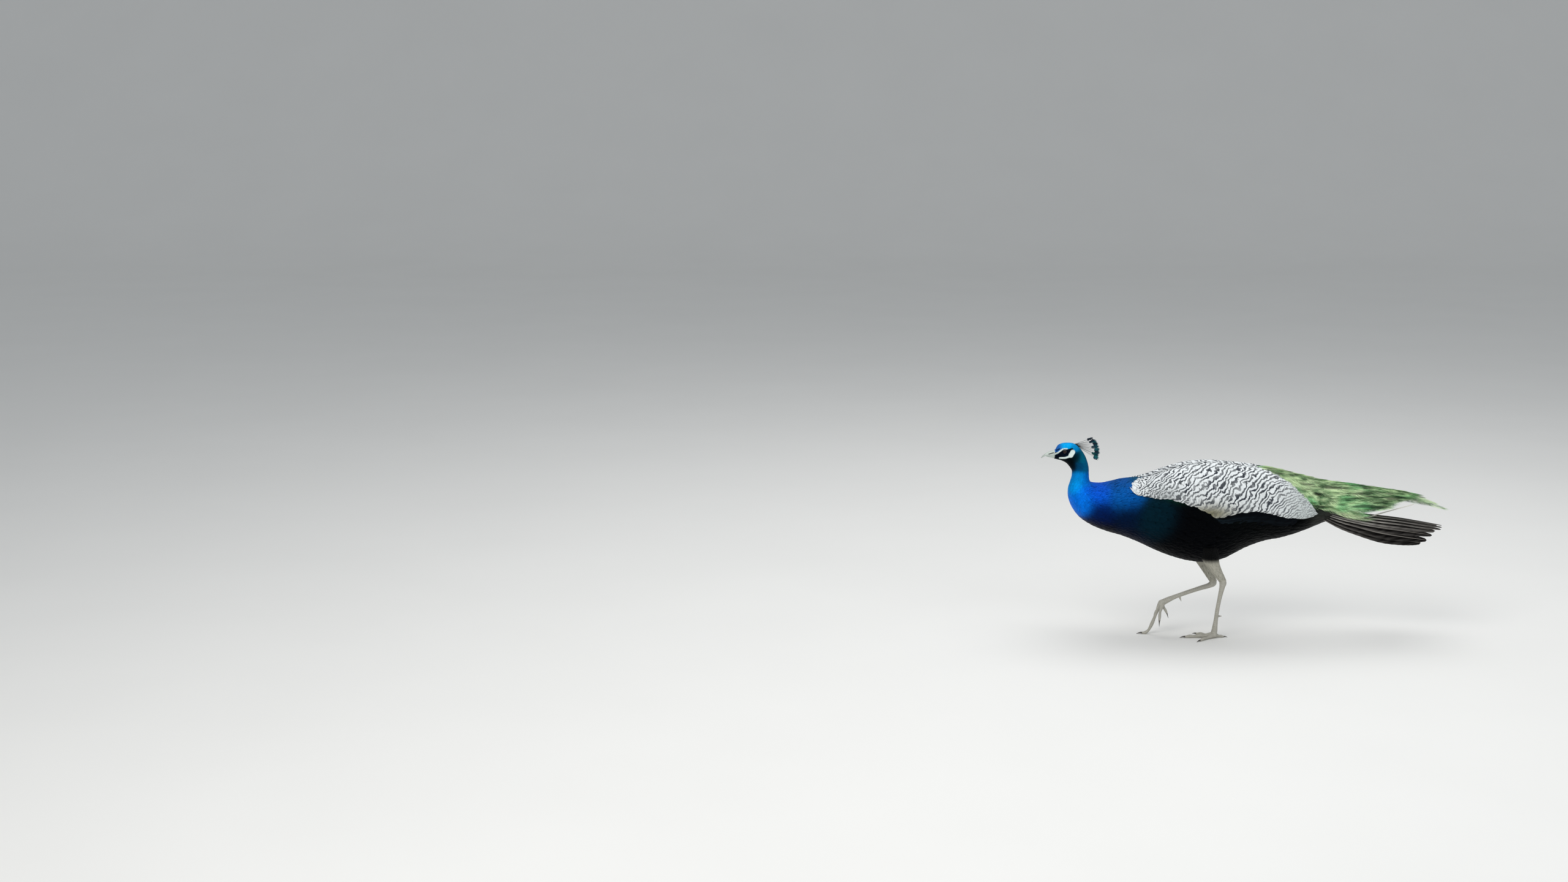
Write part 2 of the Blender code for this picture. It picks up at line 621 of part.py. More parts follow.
def make_vault(base_name, table, style, material):
    """A vault in a left, a middle and a right part."""
    partings = style["partings"]
    for side_name, first, last in zip(("left", "middle", "right"), partings, partings[1:]):
        name = f"{base_name}_{side_name}"
        add_object(name, vault_part(name, table, style, first, last), material)


def loose_plume(tip_x, tip_y, tip_z, half_width, rings=8, sides=6):
    """A flat tapering plume from inside the train to its tip: its centre line droops by a power."""
    root_x, root_z = PLUME_ROOT
    share = np.linspace(0.0, 1.0, rings)
    x = root_x + (tip_x - root_x) * share
    y = tip_y * share
    z = root_z + (tip_z - root_z) * share ** PLUME_DROOP
    width = half_width * (1 - PLUME_TAPER * share ** 3)
    thick = PLUME_THICKNESS * (1 - PLUME_THINNING * share)
    angle = np.linspace(0, 2 * math.pi, sides, endpoint=False)
    plume_rings = [np.stack([np.full(sides, x[i]), y[i] + width[i] * np.sin(angle),
                             z[i] + thick[i] * np.cos(angle)], axis=1) for i in range(rings)]
    return tube("plume", plume_rings)


def make_train_and_tail(materials):
    """The train over the tail, with its loose plumes, and the tail below it."""
    make_vault("train", TRAIN, TRAIN_STYLE, materials["train_plumage"])
    middle = bpy.data.objects["train_middle"]
    for plume in LOOSE_PLUMES:
        boolean(middle, add_object("plume", loose_plume(*plume), materials["train_plumage"]), "UNION")
    make_vault("tail", TAIL, TAIL_STYLE, materials["tail_plumage"])


# Legs

def path_rings(points, radii, sides, across=(0.0, 1.0, 0.0)):
    """Round rings across a path that bends only in the upright plane square to across.

    Whatever would lie below the floor is pressed flat on it.
    """
    points = np.asarray(points, dtype=float)
    across = np.asarray(across)[None, :]
    direction = np.gradient(points, axis=0)
    direction -= across * (direction @ across[0])[:, None]
    direction /= np.linalg.norm(direction, axis=1, keepdims=True)
    upward = np.cross(direction, across)
    angle = np.linspace(0, 2 * math.pi, sides, endpoint=False)[None, :, None]
    radii = np.asarray(radii)[:, None, None]
    rings = points[:, None] + radii * (across[:, None] * np.sin(angle) + upward[:, None] * np.cos(angle))
    rings[..., 2] = np.maximum(rings[..., 2], 0.0)
    return rings


def limb(name, rows, side, offsets, pieces, sides, grow=0.0):
    """A rounded limb along (x, z, radius) rows, leaning inwards from one offset to the other."""
    rows = np.array(rows)
    at = np.concatenate([[0.0], np.cumsum(np.linalg.norm(np.diff(rows[:, :2], axis=0), axis=1))])
    fine = smooth_through(at, rows, np.linspace(0, at[-1], pieces + 1))
    points = np.stack([fine[:, 0], side * np.linspace(*offsets, len(fine)), fine[:, 1]], axis=1)
    if grow:
        for end, inside in ((0, 1), (-1, -2)):
            tip = points[end] - points[inside]
            points[end] += tip / np.linalg.norm(tip) * grow
    return tube(name, path_rings(points, fine[:, 2] + grow, sides))


def palm_mesh(name, side, grow=0.0):
    """The pad where the toes meet: a flattened ball, turned with the foot, flat on the floor."""
    work = bmesh.new()
    bmesh.ops.create_uvsphere(work, u_segments=12, v_segments=8, radius=1.0)
    across, high = PALM_RADII
    tilt = math.radians(PALM_TILT[side])
    x, z = PALM[side]
    for vert in work.verts:
        forward, height = vert.co.x * (across + grow), vert.co.z * (high + grow)
        low = -z if side == LEFT else -high - grow
        height = max(height, low)
        vert.co.x = x + forward * math.cos(tilt) - height * math.sin(tilt)
        vert.co.y = side * FOOT_OFFSET + vert.co.y * (across + grow)
        vert.co.z = z + height * math.cos(tilt) + forward * math.sin(tilt)
    mesh = bpy.data.meshes.new(name)
    work.to_mesh(mesh)
    work.free()
    mesh.shade_smooth()
    mesh.set_sharp_from_angle(angle=math.radians(40))
    return mesh


def toe_path(toe, side):
    """Centre line and radii of a toe, from the palm to the root of its claw.

    A toe runs straight out from the palm, arched a little, in a plane turned sideways by its
    angle. On the lifted foot the whole toe turns down with the palm.
    """
    sideways, length, radius = TOES[toe]
    share = np.linspace(0.0, 1.0, TOE_RINGS)
    knuckles = 1 - KNUCKLES * np.cos(share * 2 * math.pi * (3 if toe == "middle" else 2))
    radii = radius * (1 - (1 - TOE_TAPER) * share) * knuckles
    palm_x, palm_z = PALM[side]
    y = side * FOOT_OFFSET
    if side == RIGHT and toe == "middle":
        line = np.array(REACHING_TOE)
        at = np.linspace(0, 1, len(line))
        fine = smooth_through(at, line, share)
        return np.stack([fine[:, 0], np.full(TOE_RINGS, y), fine[:, 1]], axis=1), radii
    turn = math.radians(sideways)
    reach = TOE_START + (length - TOE_START) * share
    forward = -reach * math.cos(turn)
    outward = reach * math.sin(turn) * side
    if side == LEFT:
        height = radii - FLOOR_PRESS - palm_z + TOE_ARCH * np.sin(math.pi * share)
        tilt = 0.0
    else:
        height = -TOE_CURL[0] - TOE_CURL[1] * share ** 2
        tilt = math.radians(HANGING_REAR_TOE if toe == "rear" else PALM_TILT[RIGHT])
    x = palm_x + forward * math.cos(tilt) - height * math.sin(tilt)
    z = palm_z + height * math.cos(tilt) + forward * math.sin(tilt)
    return np.stack([x, y + outward, z], axis=1), radii


def claw_path(toe, toe_points, toe_radii):
    """Centre line and radii of a claw: it goes on from the toe and curves down to a point."""
    direction = toe_points[-1] - toe_points[-2]
    direction /= np.linalg.norm(direction)
    share = np.linspace(0.0, 1.0, CLAW_RINGS)
    length = CLAW_LENGTH[toe]
    points = toe_points[-1] + direction * (GAP + length * share)[:, None]
    radii = toe_radii[-1] * CLAW_BASE * (1 - CLAW_TAPER * share ** 1.3)
    if toe_points[-1, 2] < STANDING_HEIGHT:
        settled = 3 * share ** 2 - 2 * share ** 3
        points[:, 2] += (radii - points[:, 2]) * settled
    else:
        points[:, 2] -= CLAW_HOOK * length * share ** 2
    return points, radii


def make_legs(materials):
    """Feathered thighs, scaled shanks with spurs, palms, toes and claws."""
    skin, horn = materials["scaled_skin"], materials["claw_horn"]
    for side_name, side in (("left", LEFT), ("right", RIGHT)):
        thigh = limb("thigh", THIGH[side], side, (HIP_OFFSET, HOCK_OFFSET), 7, 12)
        thigh = add_object("thigh_" + side_name, thigh, materials["leg_plumage"])
        trunk = body_length("grown_trunk", along("wrist"), along("hip"), GAP)
        boolean(thigh, add_object("grown_trunk", trunk, horn), "DIFFERENCE")
        shank_shape = (SHANK[side], side, (HOCK_OFFSET, FOOT_OFFSET), 11, 10)
        shank = add_object("shank_" + side_name, limb("shank", *shank_shape), skin)
        boolean(shank, add_object("spur", spur_mesh(side), skin), "UNION")
        palm = add_object("palm_" + side_name, palm_mesh("palm", side), skin)
        for neighbour in (thigh, palm):
            grown_shank = limb("grown_shank", *shank_shape, GAP)
            boolean(neighbour, add_object("grown_shank", grown_shank, skin), "DIFFERENCE")
        for toe, (sideways, _, _) in TOES.items():
            turn = math.radians(sideways) * side
            across = (math.sin(turn), math.cos(turn), 0.0)
            points, radii = toe_path(toe, side)
            name = f"toe_{toe}_{side_name}"
            part = add_object(name, tube(name, path_rings(points, radii, TOE_SIDES, across)), skin)
            boolean(part, add_object("grown_palm", palm_mesh("grown_palm", side, GAP), skin), "DIFFERENCE")
            points, radii = claw_path(toe, points, radii)
            name = f"claw_{toe}_{side_name}"
            add_object(name, tube(name, path_rings(points, radii, CLAW_SIDES, across)), horn)


def spur_mesh(side):
    """A short pointed spur on the back of the shank, a little to the inside."""
    rows = np.array(SHANK[side])
    at = np.concatenate([[0.0], np.cumsum(np.linalg.norm(np.diff(rows[:, :2], axis=0), axis=1))])
    here, ahead = smooth_through(at, rows, np.array([SPUR_AT * at[-1], SPUR_AT * at[-1] + 0.001]))
    down = (ahead[:2] - here[:2]) / np.linalg.norm(ahead[:2] - here[:2])
    out = np.array([-down[1], -SPUR_TURN * side, down[0]])
    out /= np.linalg.norm(out)
    share = np.linspace(0.0, 1.0, 5)[:, None]
    base = np.array([here[0], side * (HOCK_OFFSET + (FOOT_OFFSET - HOCK_OFFSET) * SPUR_AT), here[1]])
    points = base + out * (SPUR_START + SPUR_LENGTH * share)
    radii = SPUR_RADIUS * (1 - 0.86 * share[:, 0])
    return tube("spur", path_rings(points, radii, 6))


def main():
    """Empties the scene and builds the bird."""
    for old in list(bpy.data.objects):
        bpy.data.objects.remove(old, do_unlink=True)
    materials = make_materials()
    make_body(materials)
    make_bill(materials)
    make_eyes(materials)
    make_crest(materials)
    make_wings(materials)
    make_train_and_tail(materials)
    make_legs(materials)


main()
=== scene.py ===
import math

import bpy
import numpy as np
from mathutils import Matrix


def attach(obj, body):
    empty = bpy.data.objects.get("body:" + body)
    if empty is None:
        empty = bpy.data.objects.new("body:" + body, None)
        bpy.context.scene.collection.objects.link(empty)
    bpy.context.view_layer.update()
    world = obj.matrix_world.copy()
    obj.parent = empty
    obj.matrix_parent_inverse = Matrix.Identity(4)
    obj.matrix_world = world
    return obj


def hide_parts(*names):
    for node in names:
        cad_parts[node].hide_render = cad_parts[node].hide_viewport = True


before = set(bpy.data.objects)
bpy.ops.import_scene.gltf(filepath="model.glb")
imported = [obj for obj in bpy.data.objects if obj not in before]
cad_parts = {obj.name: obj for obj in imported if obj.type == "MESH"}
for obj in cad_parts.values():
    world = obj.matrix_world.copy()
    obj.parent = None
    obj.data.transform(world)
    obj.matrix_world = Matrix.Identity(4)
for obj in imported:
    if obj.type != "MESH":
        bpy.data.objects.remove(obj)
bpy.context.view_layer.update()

# A walking peacock in moult, life size: skin, coat, vanes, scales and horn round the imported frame.
#
# Metres, +Z up. The bird faces -X and its left side is -Y. Almost everything grows from one sweep of
# oval sections, the same as the frame's. A skin lies under it by the depth of the coat, and vanes are
# laid on it in overlapping rows: each vane is a small closed leaf, whose points are steps along and
# across a surface with a height over it. Train, crest and tail are longer plumes on surfaces of their
# own. Every point of a vane carries its place on the vane and the colour of its place on the bird.

RANDOM = np.random.default_rng(20)
LEFT, RIGHT = -1, 1
SIDES = (("left", LEFT), ("right", RIGHT))
SHARP_BEND = math.radians(75)     # edges bent more than this stay sharp

# Body sections, head to tail root: back point and belly point (x, z), half width, and how far up
# from the belly the section is widest.
BODY = {
    "bill_base":   ((-0.4940, 0.500), (-0.4950, 0.4760), 0.0085, 0.50),
    "forehead":    ((-0.4880, 0.511), (-0.4870, 0.4740), 0.0130, 0.50),
    "brow":        ((-0.4790, 0.516), (-0.4780, 0.4715), 0.0165, 0.50),
    "crown":       ((-0.4650, 0.518), (-0.4660, 0.4655), 0.0185, 0.50),
    "rear_crown":  ((-0.4470, 0.516), (-0.4570, 0.4560), 0.0188, 0.50),
    "nape":        ((-0.4310, 0.504), (-0.4505, 0.4460), 0.0182, 0.50),
    "upper_neck":  ((-0.4160, 0.482), (-0.4495, 0.4360), 0.0185, 0.50),
    "mid_neck":    ((-0.4075, 0.456), (-0.4505, 0.4270), 0.0205, 0.50),
    "lower_neck":  ((-0.4060, 0.436), (-0.4540, 0.4140), 0.0235, 0.50),
    "neck_base":   ((-0.4045, 0.422), (-0.4585, 0.3960), 0.0290, 0.50),
    "upper_breast": ((-0.4010, 0.415), (-0.4575, 0.3750), 0.0380, 0.50),
    "breast":      ((-0.3940, 0.412), (-0.4490, 0.3510), 0.0490, 0.50),
    "crop":        ((-0.3830, 0.4105), (-0.4310, 0.3260), 0.0600, 0.50),
    "low_breast":  ((-0.3670, 0.4105), (-0.4000, 0.3040), 0.0690, 0.52),
    "shoulder":    ((-0.3460, 0.4145), (-0.3620, 0.2880), 0.0765, 0.54),
    "wrist":       ((-0.3200, 0.421), (-0.3200, 0.2755), 0.0820, 0.55),
    "keel":        ((-0.2900, 0.4245), (-0.2800, 0.2600), 0.0865, 0.56),
    "flank":       ((-0.2450, 0.433), (-0.2360, 0.2390), 0.0905, 0.56),
    "saddle":      ((-0.2000, 0.449), (-0.1920, 0.2210), 0.0925, 0.56),
    "deepest":     ((-0.1500, 0.462), (-0.1460, 0.2080), 0.0925, 0.56),
    "thigh_root":  ((-0.1000, 0.4665), (-0.0980, 0.2030), 0.0905, 0.56),
    "vent":        ((-0.0500, 0.464), (-0.0530, 0.2120), 0.0865, 0.56),
    "rear_flank":  ((0.0000, 0.459), (0.0000, 0.2400), 0.0800, 0.56),
    "hip":         ((0.0500, 0.454), (0.0500, 0.2590), 0.0725, 0.56),
    "rump":        ((0.1000, 0.444), (0.1000, 0.2690), 0.0635, 0.55),
    "tail_covert": ((0.1500, 0.431), (0.1500, 0.2850), 0.0545, 0.54),
    "tail_root":   ((0.2000, 0.419), (0.2000, 0.3060), 0.0460, 0.52),
}
BODY_FULLNESS = 2.15      # power of the sections' outline: 2 is an ellipse, more is squarer

# The coat: length of a feather and depth of the coat at a section, between which they are even.
COAT = {
    "bill_base": (0.0022, 0.0005), "brow": (0.0028, 0.0006), "rear_crown": (0.0036, 0.0007),
    "upper_neck": (0.0060, 0.0010), "neck_base": (0.0090, 0.0013), "breast": (0.0125, 0.0016),
    "shoulder": (0.0160, 0.0019), "deepest": (0.0210, 0.0022), "tail_root": (0.0270, 0.0022),
}
SKIN_UNDER = 0.0004       # between the roots of the coat and the skin
COAT_SPACING = (0.42, 0.40)           # between rows and between roots in a row, of a feather's length
FEATHER_WIDTH = 0.29                  # half width of a contour feather, of its length
DOWN_SPACING = (0.0028, 0.0026)       # between rows and between roots of the thighs' down
DOWN_DEPTH = 0.0022                   # from the thighs' outline to the skin

# Wings: where along the body, and between which angles from the back line, in degrees.
WING_OUTLINE = np.array([
    # x       upper  lower
    (-0.302, 29.0, 37.0), (-0.292, 19.0, 49.0), (-0.265, 12.0, 57.0), (-0.200, 8.0, 68.0),
    (-0.130, 7.0, 83.0), (-0.081, 7.0, 92.0), (-0.035, 8.0, 91.0), (0.020, 13.0, 95.0),
    (0.070, 30.0, 102.0), (0.118, 55.0, 109.0), (0.150, 78.0, 113.0), (0.174, 101.0, 110.0),
])
WING_THICKNESS = 0.0085
WING_RADIUS = 0.104       # mean distance of a wing from the body's middle line
WING_ROW_STEP = 0.34      # between rows of the wing's feathers, of their length
FLIGHT_OUTLINE = np.array([
    # x      degrees shown below the wing's edge
    (-0.170, 2.5), (-0.110, 9.0), (-0.050, 15.0), (0.010, 19.5), (0.070, 22.0), (0.112, 24.0),
    (0.136, 15.0),
])
FLIGHT_THICKNESS = 0.0045
FLIGHT_FEATHERS, FLIGHT_SPREAD = 9, (0.16, 0.95)      # how many, and from where to where across

# Train and tail: ridge line, and how far the edges spread and drop from it.
TRAIN = np.array([
    # x      ridge z  half width  drop
    (0.2004, 0.4185, 0.0455, 0.0600), (0.2400, 0.4130, 0.0490, 0.0620),
    (0.2900, 0.4060, 0.0500, 0.0590), (0.3400, 0.3985, 0.0470, 0.0500),
    (0.3800, 0.3925, 0.0420, 0.0400), (0.4150, 0.3870, 0.0350, 0.0300),
    (0.4450, 0.3800, 0.0290, 0.0220),
])
TRAIN_ROUNDNESS = 82.0
TRAIN_ROW_STEP, TRAIN_GAP, TRAIN_END = 0.0120, 0.0125, 0.452
TAIL = np.array([
    (0.2004, 0.3450, 0.0380, 0.0260), (0.2400, 0.3370, 0.0440, 0.0400),
    (0.2950, 0.3290, 0.0510, 0.0520), (0.3500, 0.3230, 0.0570, 0.0620),
    (0.4000, 0.3170, 0.0610, 0.0620), (0.4700, 0.3050, 0.0650, 0.0530),
    (0.5310, 0.2930, 0.0670, 0.0450),
])
TAIL_ROUNDNESS = 38.0
TAIL_END = 0.531
TAIL_FEATHERS, TAIL_SPREAD = 16, 0.77                 # how many, and how far across the outer ones lie

# Head
UPPER_BILL = np.array([
    # x      top z   bottom z  half width
    (-0.4940, 0.4996, 0.4842, 0.0082), (-0.5050, 0.4968, 0.4845, 0.0064),
    (-0.5150, 0.4925, 0.4842, 0.0047), (-0.5230, 0.4875, 0.4822, 0.0031),
    (-0.5280, 0.4825, 0.4790, 0.0017), (-0.5310, 0.4785, 0.4775, 0.0005),
])
LOWER_BILL = np.array([
    (-0.4940, 0.4838, 0.4763, 0.0069), (-0.5050, 0.4840, 0.4785, 0.0052),
    (-0.5130, 0.4836, 0.4806, 0.0031), (-0.5175, 0.4828, 0.4818, 0.0010),
])
EYE_CENTRE = np.array((-0.4715, 0.0129, 0.4972))
EYE_RADIUS = 0.0057
CREST_ROOT = np.array((-0.4410, 0.5170))
CREST_PLUMES = 27

# Legs: centre line points (x, z) with radii, hip to hock and hock to toe joint.
HIP_OFFSET, HOCK_OFFSET, FOOT_OFFSET = 0.046, 0.036, 0.019
THIGH = {
    LEFT: np.array([(-0.098, 0.262, 0.034), (-0.092, 0.232, 0.025), (-0.082, 0.204, 0.0165),
                    (-0.067, 0.178, 0.0115), (-0.0565, 0.1615, 0.0092)]),
    RIGHT: np.array([(-0.118, 0.262, 0.034), (-0.109, 0.230, 0.025), (-0.097, 0.200, 0.0165),
                     (-0.079, 0.166, 0.0115), (-0.0665, 0.1435, 0.0092)]),
}
SHANK = {
    LEFT: np.array([(-0.0560, 0.1605, 0.0086), (-0.0535, 0.1530, 0.0092), (-0.0545, 0.1430, 0.0076),
                    (-0.0585, 0.1180, 0.0058), (-0.0635, 0.0800, 0.0053), (-0.0665, 0.0430, 0.0058),
                    (-0.0675, 0.0290, 0.0070), (-0.0680, 0.0202, 0.0078)]),
    RIGHT: np.array([(-0.0660, 0.1425, 0.0086), (-0.0650, 0.1350, 0.0092),
                     (-0.0720, 0.1302, 0.0076), (-0.0970, 0.1225, 0.0060),
                     (-0.1330, 0.1115, 0.0055), (-0.1710, 0.0985, 0.0060),
                     (-0.1840, 0.0930, 0.0072), (-0.1930, 0.0888, 0.0078)]),
}
SPUR_AT, SPUR_LENGTH, SPUR_RADIUS = 0.72, 0.015, 0.0035
PALM_RADII = (0.0118, 0.0102)
PALM = {LEFT: (-0.0700, 0.0086), RIGHT: (-0.2030, 0.0835)}
PALM_TILT = {LEFT: 0.0, RIGHT: 62.0}
HANGING_REAR_TOE = -40.0
TOES = {
    # degrees sideways, length to the claw, radius
    "middle": (0.0, 0.074, 0.0045), "inner": (-40.0, 0.050, 0.0041),
    "outer": (40.0, 0.054, 0.0041), "rear": (188.0, 0.028, 0.0034),
}
REACHING_TOE = np.array([(-0.2082, 0.0750), (-0.2170, 0.0520), (-0.2255, 0.0290),
                         (-0.2340, 0.0112), (-0.2430, 0.0036), (-0.2515, 0.0030)])
CLAW_LENGTH = {"middle": 0.0150, "inner": 0.0130, "outer": 0.0130, "rear": 0.0110}
FLOOR_PRESS = 0.0006

# Colours of the plumage, red, green and blue of 255, round places (x, z) on the bird: each reaches
# about as far as its radius.
ZONES = {
    "forehead":     ((-0.488, 0.508), 0.008, (52, 112, 205)),
    "crown":        ((-0.467, 0.517), 0.014, (10, 168, 245)),
    "rear_crown":   ((-0.443, 0.510), 0.012, (8, 140, 212)),
    "nape":         ((-0.421, 0.488), 0.014, (8, 104, 138)),
    "behind_cheek": ((-0.438, 0.487), 0.011, (1, 22, 28)),
    "chin":         ((-0.489, 0.476), 0.008, (5, 28, 36)),
    "throat":       ((-0.466, 0.468), 0.012, (1, 17, 22)),
    "low_throat":   ((-0.450, 0.452), 0.010, (1, 20, 26)),
    "neck_side":    ((-0.431, 0.455), 0.010, (4, 70, 110)),
    "nape_foot":    ((-0.410, 0.455), 0.012, (6, 96, 140)),
    "neck":         ((-0.437, 0.430), 0.014, (8, 140, 228)),
    "neck_front":   ((-0.455, 0.408), 0.018, (6, 158, 250)),
    "neck_rear":    ((-0.410, 0.425), 0.014, (4, 118, 214)),
    "crop":         ((-0.435, 0.365), 0.028, (3, 118, 240)),
    "breast_top":   ((-0.385, 0.395), 0.026, (1, 86, 210)),
    "breast":       ((-0.380, 0.345), 0.030, (1, 34, 88)),
    "low_breast":   ((-0.385, 0.292), 0.042, (0, 4, 18)),
    "shoulder":     ((-0.325, 0.390), 0.033, (6, 82, 160)),
    "side":         ((-0.315, 0.335), 0.032, (3, 26, 54)),
    "flank":        ((-0.250, 0.325), 0.040, (7, 36, 48)),
    "keel":         ((-0.300, 0.270), 0.035, (2, 16, 38)),
    # painted shade: the belly's colour is darker than its feathers' own blue-black, for the shade under the
    # body
    "belly":        ((-0.140, 0.230), 0.090, (1, 7, 12)),
    "rear":         ((0.060, 0.280), 0.090, (3, 9, 11)),
    "vent":         ((0.208, 0.318), 0.030, (56, 52, 50)),
    "mantle":       ((-0.270, 0.430), 0.022, (14, 78, 110)),
    "back":         ((-0.180, 0.462), 0.040, (38, 92, 62)),
    "lower_back":   ((-0.020, 0.470), 0.060, (74, 112, 44)),
}
ZONE_FALL = 1.3           # how fast a zone's weight falls off with the squared share of its radius

# Marks of the face: lines (x, z), half width, softness of the edge, and strength.
BARE_FACE = [
    ([(-0.4990, 0.4880), (-0.4890, 0.4935), (-0.4825, 0.4995), (-0.4765, 0.5040)], 0.0019, 0.0005, 1.0),
    ([(-0.4735, 0.5050), (-0.4655, 0.5050)], 0.0014, 0.0005, 1.0),
    ([(-0.4830, 0.4795), (-0.4700, 0.4808), (-0.4600, 0.4850)], 0.0028, 0.0005, 1.0),
    ([(-0.4560, 0.4880), (-0.4510, 0.4965)], 0.0062, 0.0005, 1.0),
]
EYE_STRIPE = [
    ([(-0.4975, 0.4860), (-0.4860, 0.4890), (-0.4715, 0.4945), (-0.4640, 0.4955)], 0.0078, 0.0014, 1.0),
    ([(-0.4790, 0.4990), (-0.4640, 0.5004), (-0.4530, 0.5035)], 0.0036, 0.0014, 1.0),
    ([(-0.4920, 0.4990), (-0.4850, 0.5040)], 0.0018, 0.0008, 0.8),
]
NOSTRIL = [([(-0.5110, 0.4886), (-0.4995, 0.4922)], 0.0010, 0.0006, 1.0)]
NOSTRIL_FLAP = [([(-0.5100, 0.4911), (-0.4990, 0.4947)], 0.0007, 0.0006, 1.0)]


# Numbers

def unit(vectors):
    """Vectors of length one."""
    return vectors / np.linalg.norm(vectors, axis=-1, keepdims=True)


def dot(a, b):
    """Products of vectors, summed over their parts."""
    return (a * b).sum(axis=-1)


def ease(values, low=0.0, high=1.0):
    """0 below low and 1 above high, and between them 3 t squared less 2 t cubed."""
    t = np.clip((values - low) / (high - low), 0.0, 1.0)
    return 3 * t ** 2 - 2 * t ** 3


def linear(colour):
    """Colour of 255 as linear light: the power 2.2 of its share."""
    return (np.asarray(colour, dtype=float) / 255.0) ** 2.2


def mixed(first, second, share):
    """From the first to the second by a share."""
    return first * (1 - share) + second * share


def smooth_through(knots, values, at):
    """Cubic pieces through the values, whose slope at each knot is that between its neighbours.

    Beyond the ends it goes on straight.
    """
    knots, values, at = np.asarray(knots), np.asarray(values), np.asarray(at)
    slopes = np.gradient(values, knots, axis=0)
    inside = np.clip(at, knots[0], knots[-1])
    i = np.clip(np.searchsorted(knots, inside, side="right") - 1, 0, len(knots) - 2)
    span = (knots[i + 1] - knots[i])[:, None]
    t = (inside - knots[i])[:, None] / span
    beyond = (at - inside)[:, None] * np.where((at < knots[0])[:, None], slopes[0], slopes[-1])
    return ((2 * t ** 3 - 3 * t ** 2 + 1) * values[i] + (t ** 3 - 2 * t ** 2 + t) * span * slopes[i]
            + (3 * t ** 2 - 2 * t ** 3) * values[i + 1]
            + (t ** 3 - t ** 2) * span * slopes[i + 1] + beyond)


def even(colour):
    """The same colour of 255 everywhere, as a function of points."""
    return lambda points: np.broadcast_to(linear(colour), points.shape)


def circle(count):
    """Angles evenly round a full turn."""
    return np.linspace(0, 2 * math.pi, count, endpoint=False)


def signed_power(values, power):
    """Power of the size of each value, with the value's own sign."""
    return np.sign(values) * np.abs(values) ** power


def path_length(points):
    """Distance along a row of points, from the first."""
    return np.concatenate([[0.0], np.cumsum(np.linalg.norm(np.diff(points, axis=0), axis=1))])


# Surfaces

class Surface:
    """A surface given by points(u, v): u runs towards the tail or the toes, and v to the side.

    The cross product of its slopes by u and by v points outwards.
    """

    STEP = 1e-4

    def __init__(self, points):
        self.points = points

    def slopes(self, u, v):
        """Slopes by u and by v, from small steps either way."""
        by_u = self.points(u + self.STEP, v) - self.points(u - self.STEP, v)
        by_v = self.points(u, v + self.STEP) - self.points(u, v - self.STEP)
        return by_u / (2 * self.STEP), by_v / (2 * self.STEP)

    def normals(self, u, v):
        """Outward directions."""
        return unit(np.cross(*self.slopes(u, v)))

    def lay(self, u, v, turn, along, across, height):
        """Points of many vanes, each laid from its root (u, v) with its heading turned towards v.

        A point's steps along and across, in metres, lie in the root's tangent plane. The slopes
        there turn them into steps of u and v, and the height is then measured along the normal.
        """
        by_u, by_v = self.slopes(u, v)
        normal = unit(np.cross(by_u, by_v))
        ahead = unit(by_u)
        aside = np.cross(normal, ahead)
        cosine, sine = np.cos(turn)[:, None], np.sin(turn)[:, None]
        heading = ahead * cosine + aside * sine
        sideways = aside * cosine - ahead * sine
        step = heading[:, None] * along[..., None] + sideways[:, None] * across[..., None]
        uu, uv, vv = (dot(a, b)[:, None] for a, b in ((by_u, by_u), (by_u, by_v), (by_v, by_v)))
        on_u, on_v = dot(step, by_u[:, None]), dot(step, by_v[:, None])
        scale = uu * vv - uv ** 2
        at_u = u[:, None] + (vv * on_u - uv * on_v) / scale
        at_v = v[:, None] + (uu * on_v - uv * on_u) / scale
        return self.points(at_u, at_v) + self.normals(at_u, at_v) * height[..., None]


STATION_ROWS = np.array([[*back, *belly, width, level] for back, belly, width, level in BODY.values()])
STATION_MIDDLES = (STATION_ROWS[:, 0:2] + STATION_ROWS[:, 2:4]) / 2
STATION_AT = path_length(STATION_MIDDLES)
SHOULDER = list(BODY).index("shoulder")
BODY_LENGTH = STATION_AT[-1]


def along(name):
    """Distance along the body of a named section."""
    return STATION_AT[list(BODY).index(name)]


def along_x(x):
    """Distance along the body of the section whose middle is at x, behind the shoulder."""
    start, end = STATION_MIDDLES[SHOULDER, 0], STATION_MIDDLES[-1, 0]
    inside = np.clip(x, start, end)
    return np.interp(inside, STATION_MIDDLES[SHOULDER:, 0], STATION_AT[SHOULDER:]) + (x - inside)


def body_points(distance, angle):
    """Points on the body at a distance along it and an angle from the back line, in radians.

    Each section is an oval about its widest level: up and down by cosine, sideways by sine,
    both raised to 2 / fullness.
    """
    distance, angle = np.broadcast_arrays(distance, angle)
    rows = smooth_through(STATION_AT, STATION_ROWS, distance.ravel())
    back, belly, width, level = rows[:, 0:2], rows[:, 2:4], rows[:, 4], rows[:, 5]
    height = np.linalg.norm(back - belly, axis=1)
    up = (back - belly) / height[:, None]
    centre = belly + (back - belly) * level[:, None]
    cosine = signed_power(np.cos(angle.ravel()), 2 / BODY_FULLNESS)
    sine = signed_power(np.sin(angle.ravel()), 2 / BODY_FULLNESS)
    reach = np.where(cosine > 0, height * (1 - level), height * level)
    flat = centre + up * (reach * cosine)[:, None]
    return np.stack([flat[:, 0], width * sine, flat[:, 1]], axis=1).reshape(*distance.shape, 3)


BODY_SURFACE = Surface(body_points)


def coat_at(distance):
    """Length of a feather and depth of the coat at a distance along the body."""
    stops = np.array([along(name) for name in COAT])
    sizes = np.array(list(COAT.values()))
    return np.interp(distance, stops, sizes[:, 0]), np.interp(distance, stops, sizes[:, 1])


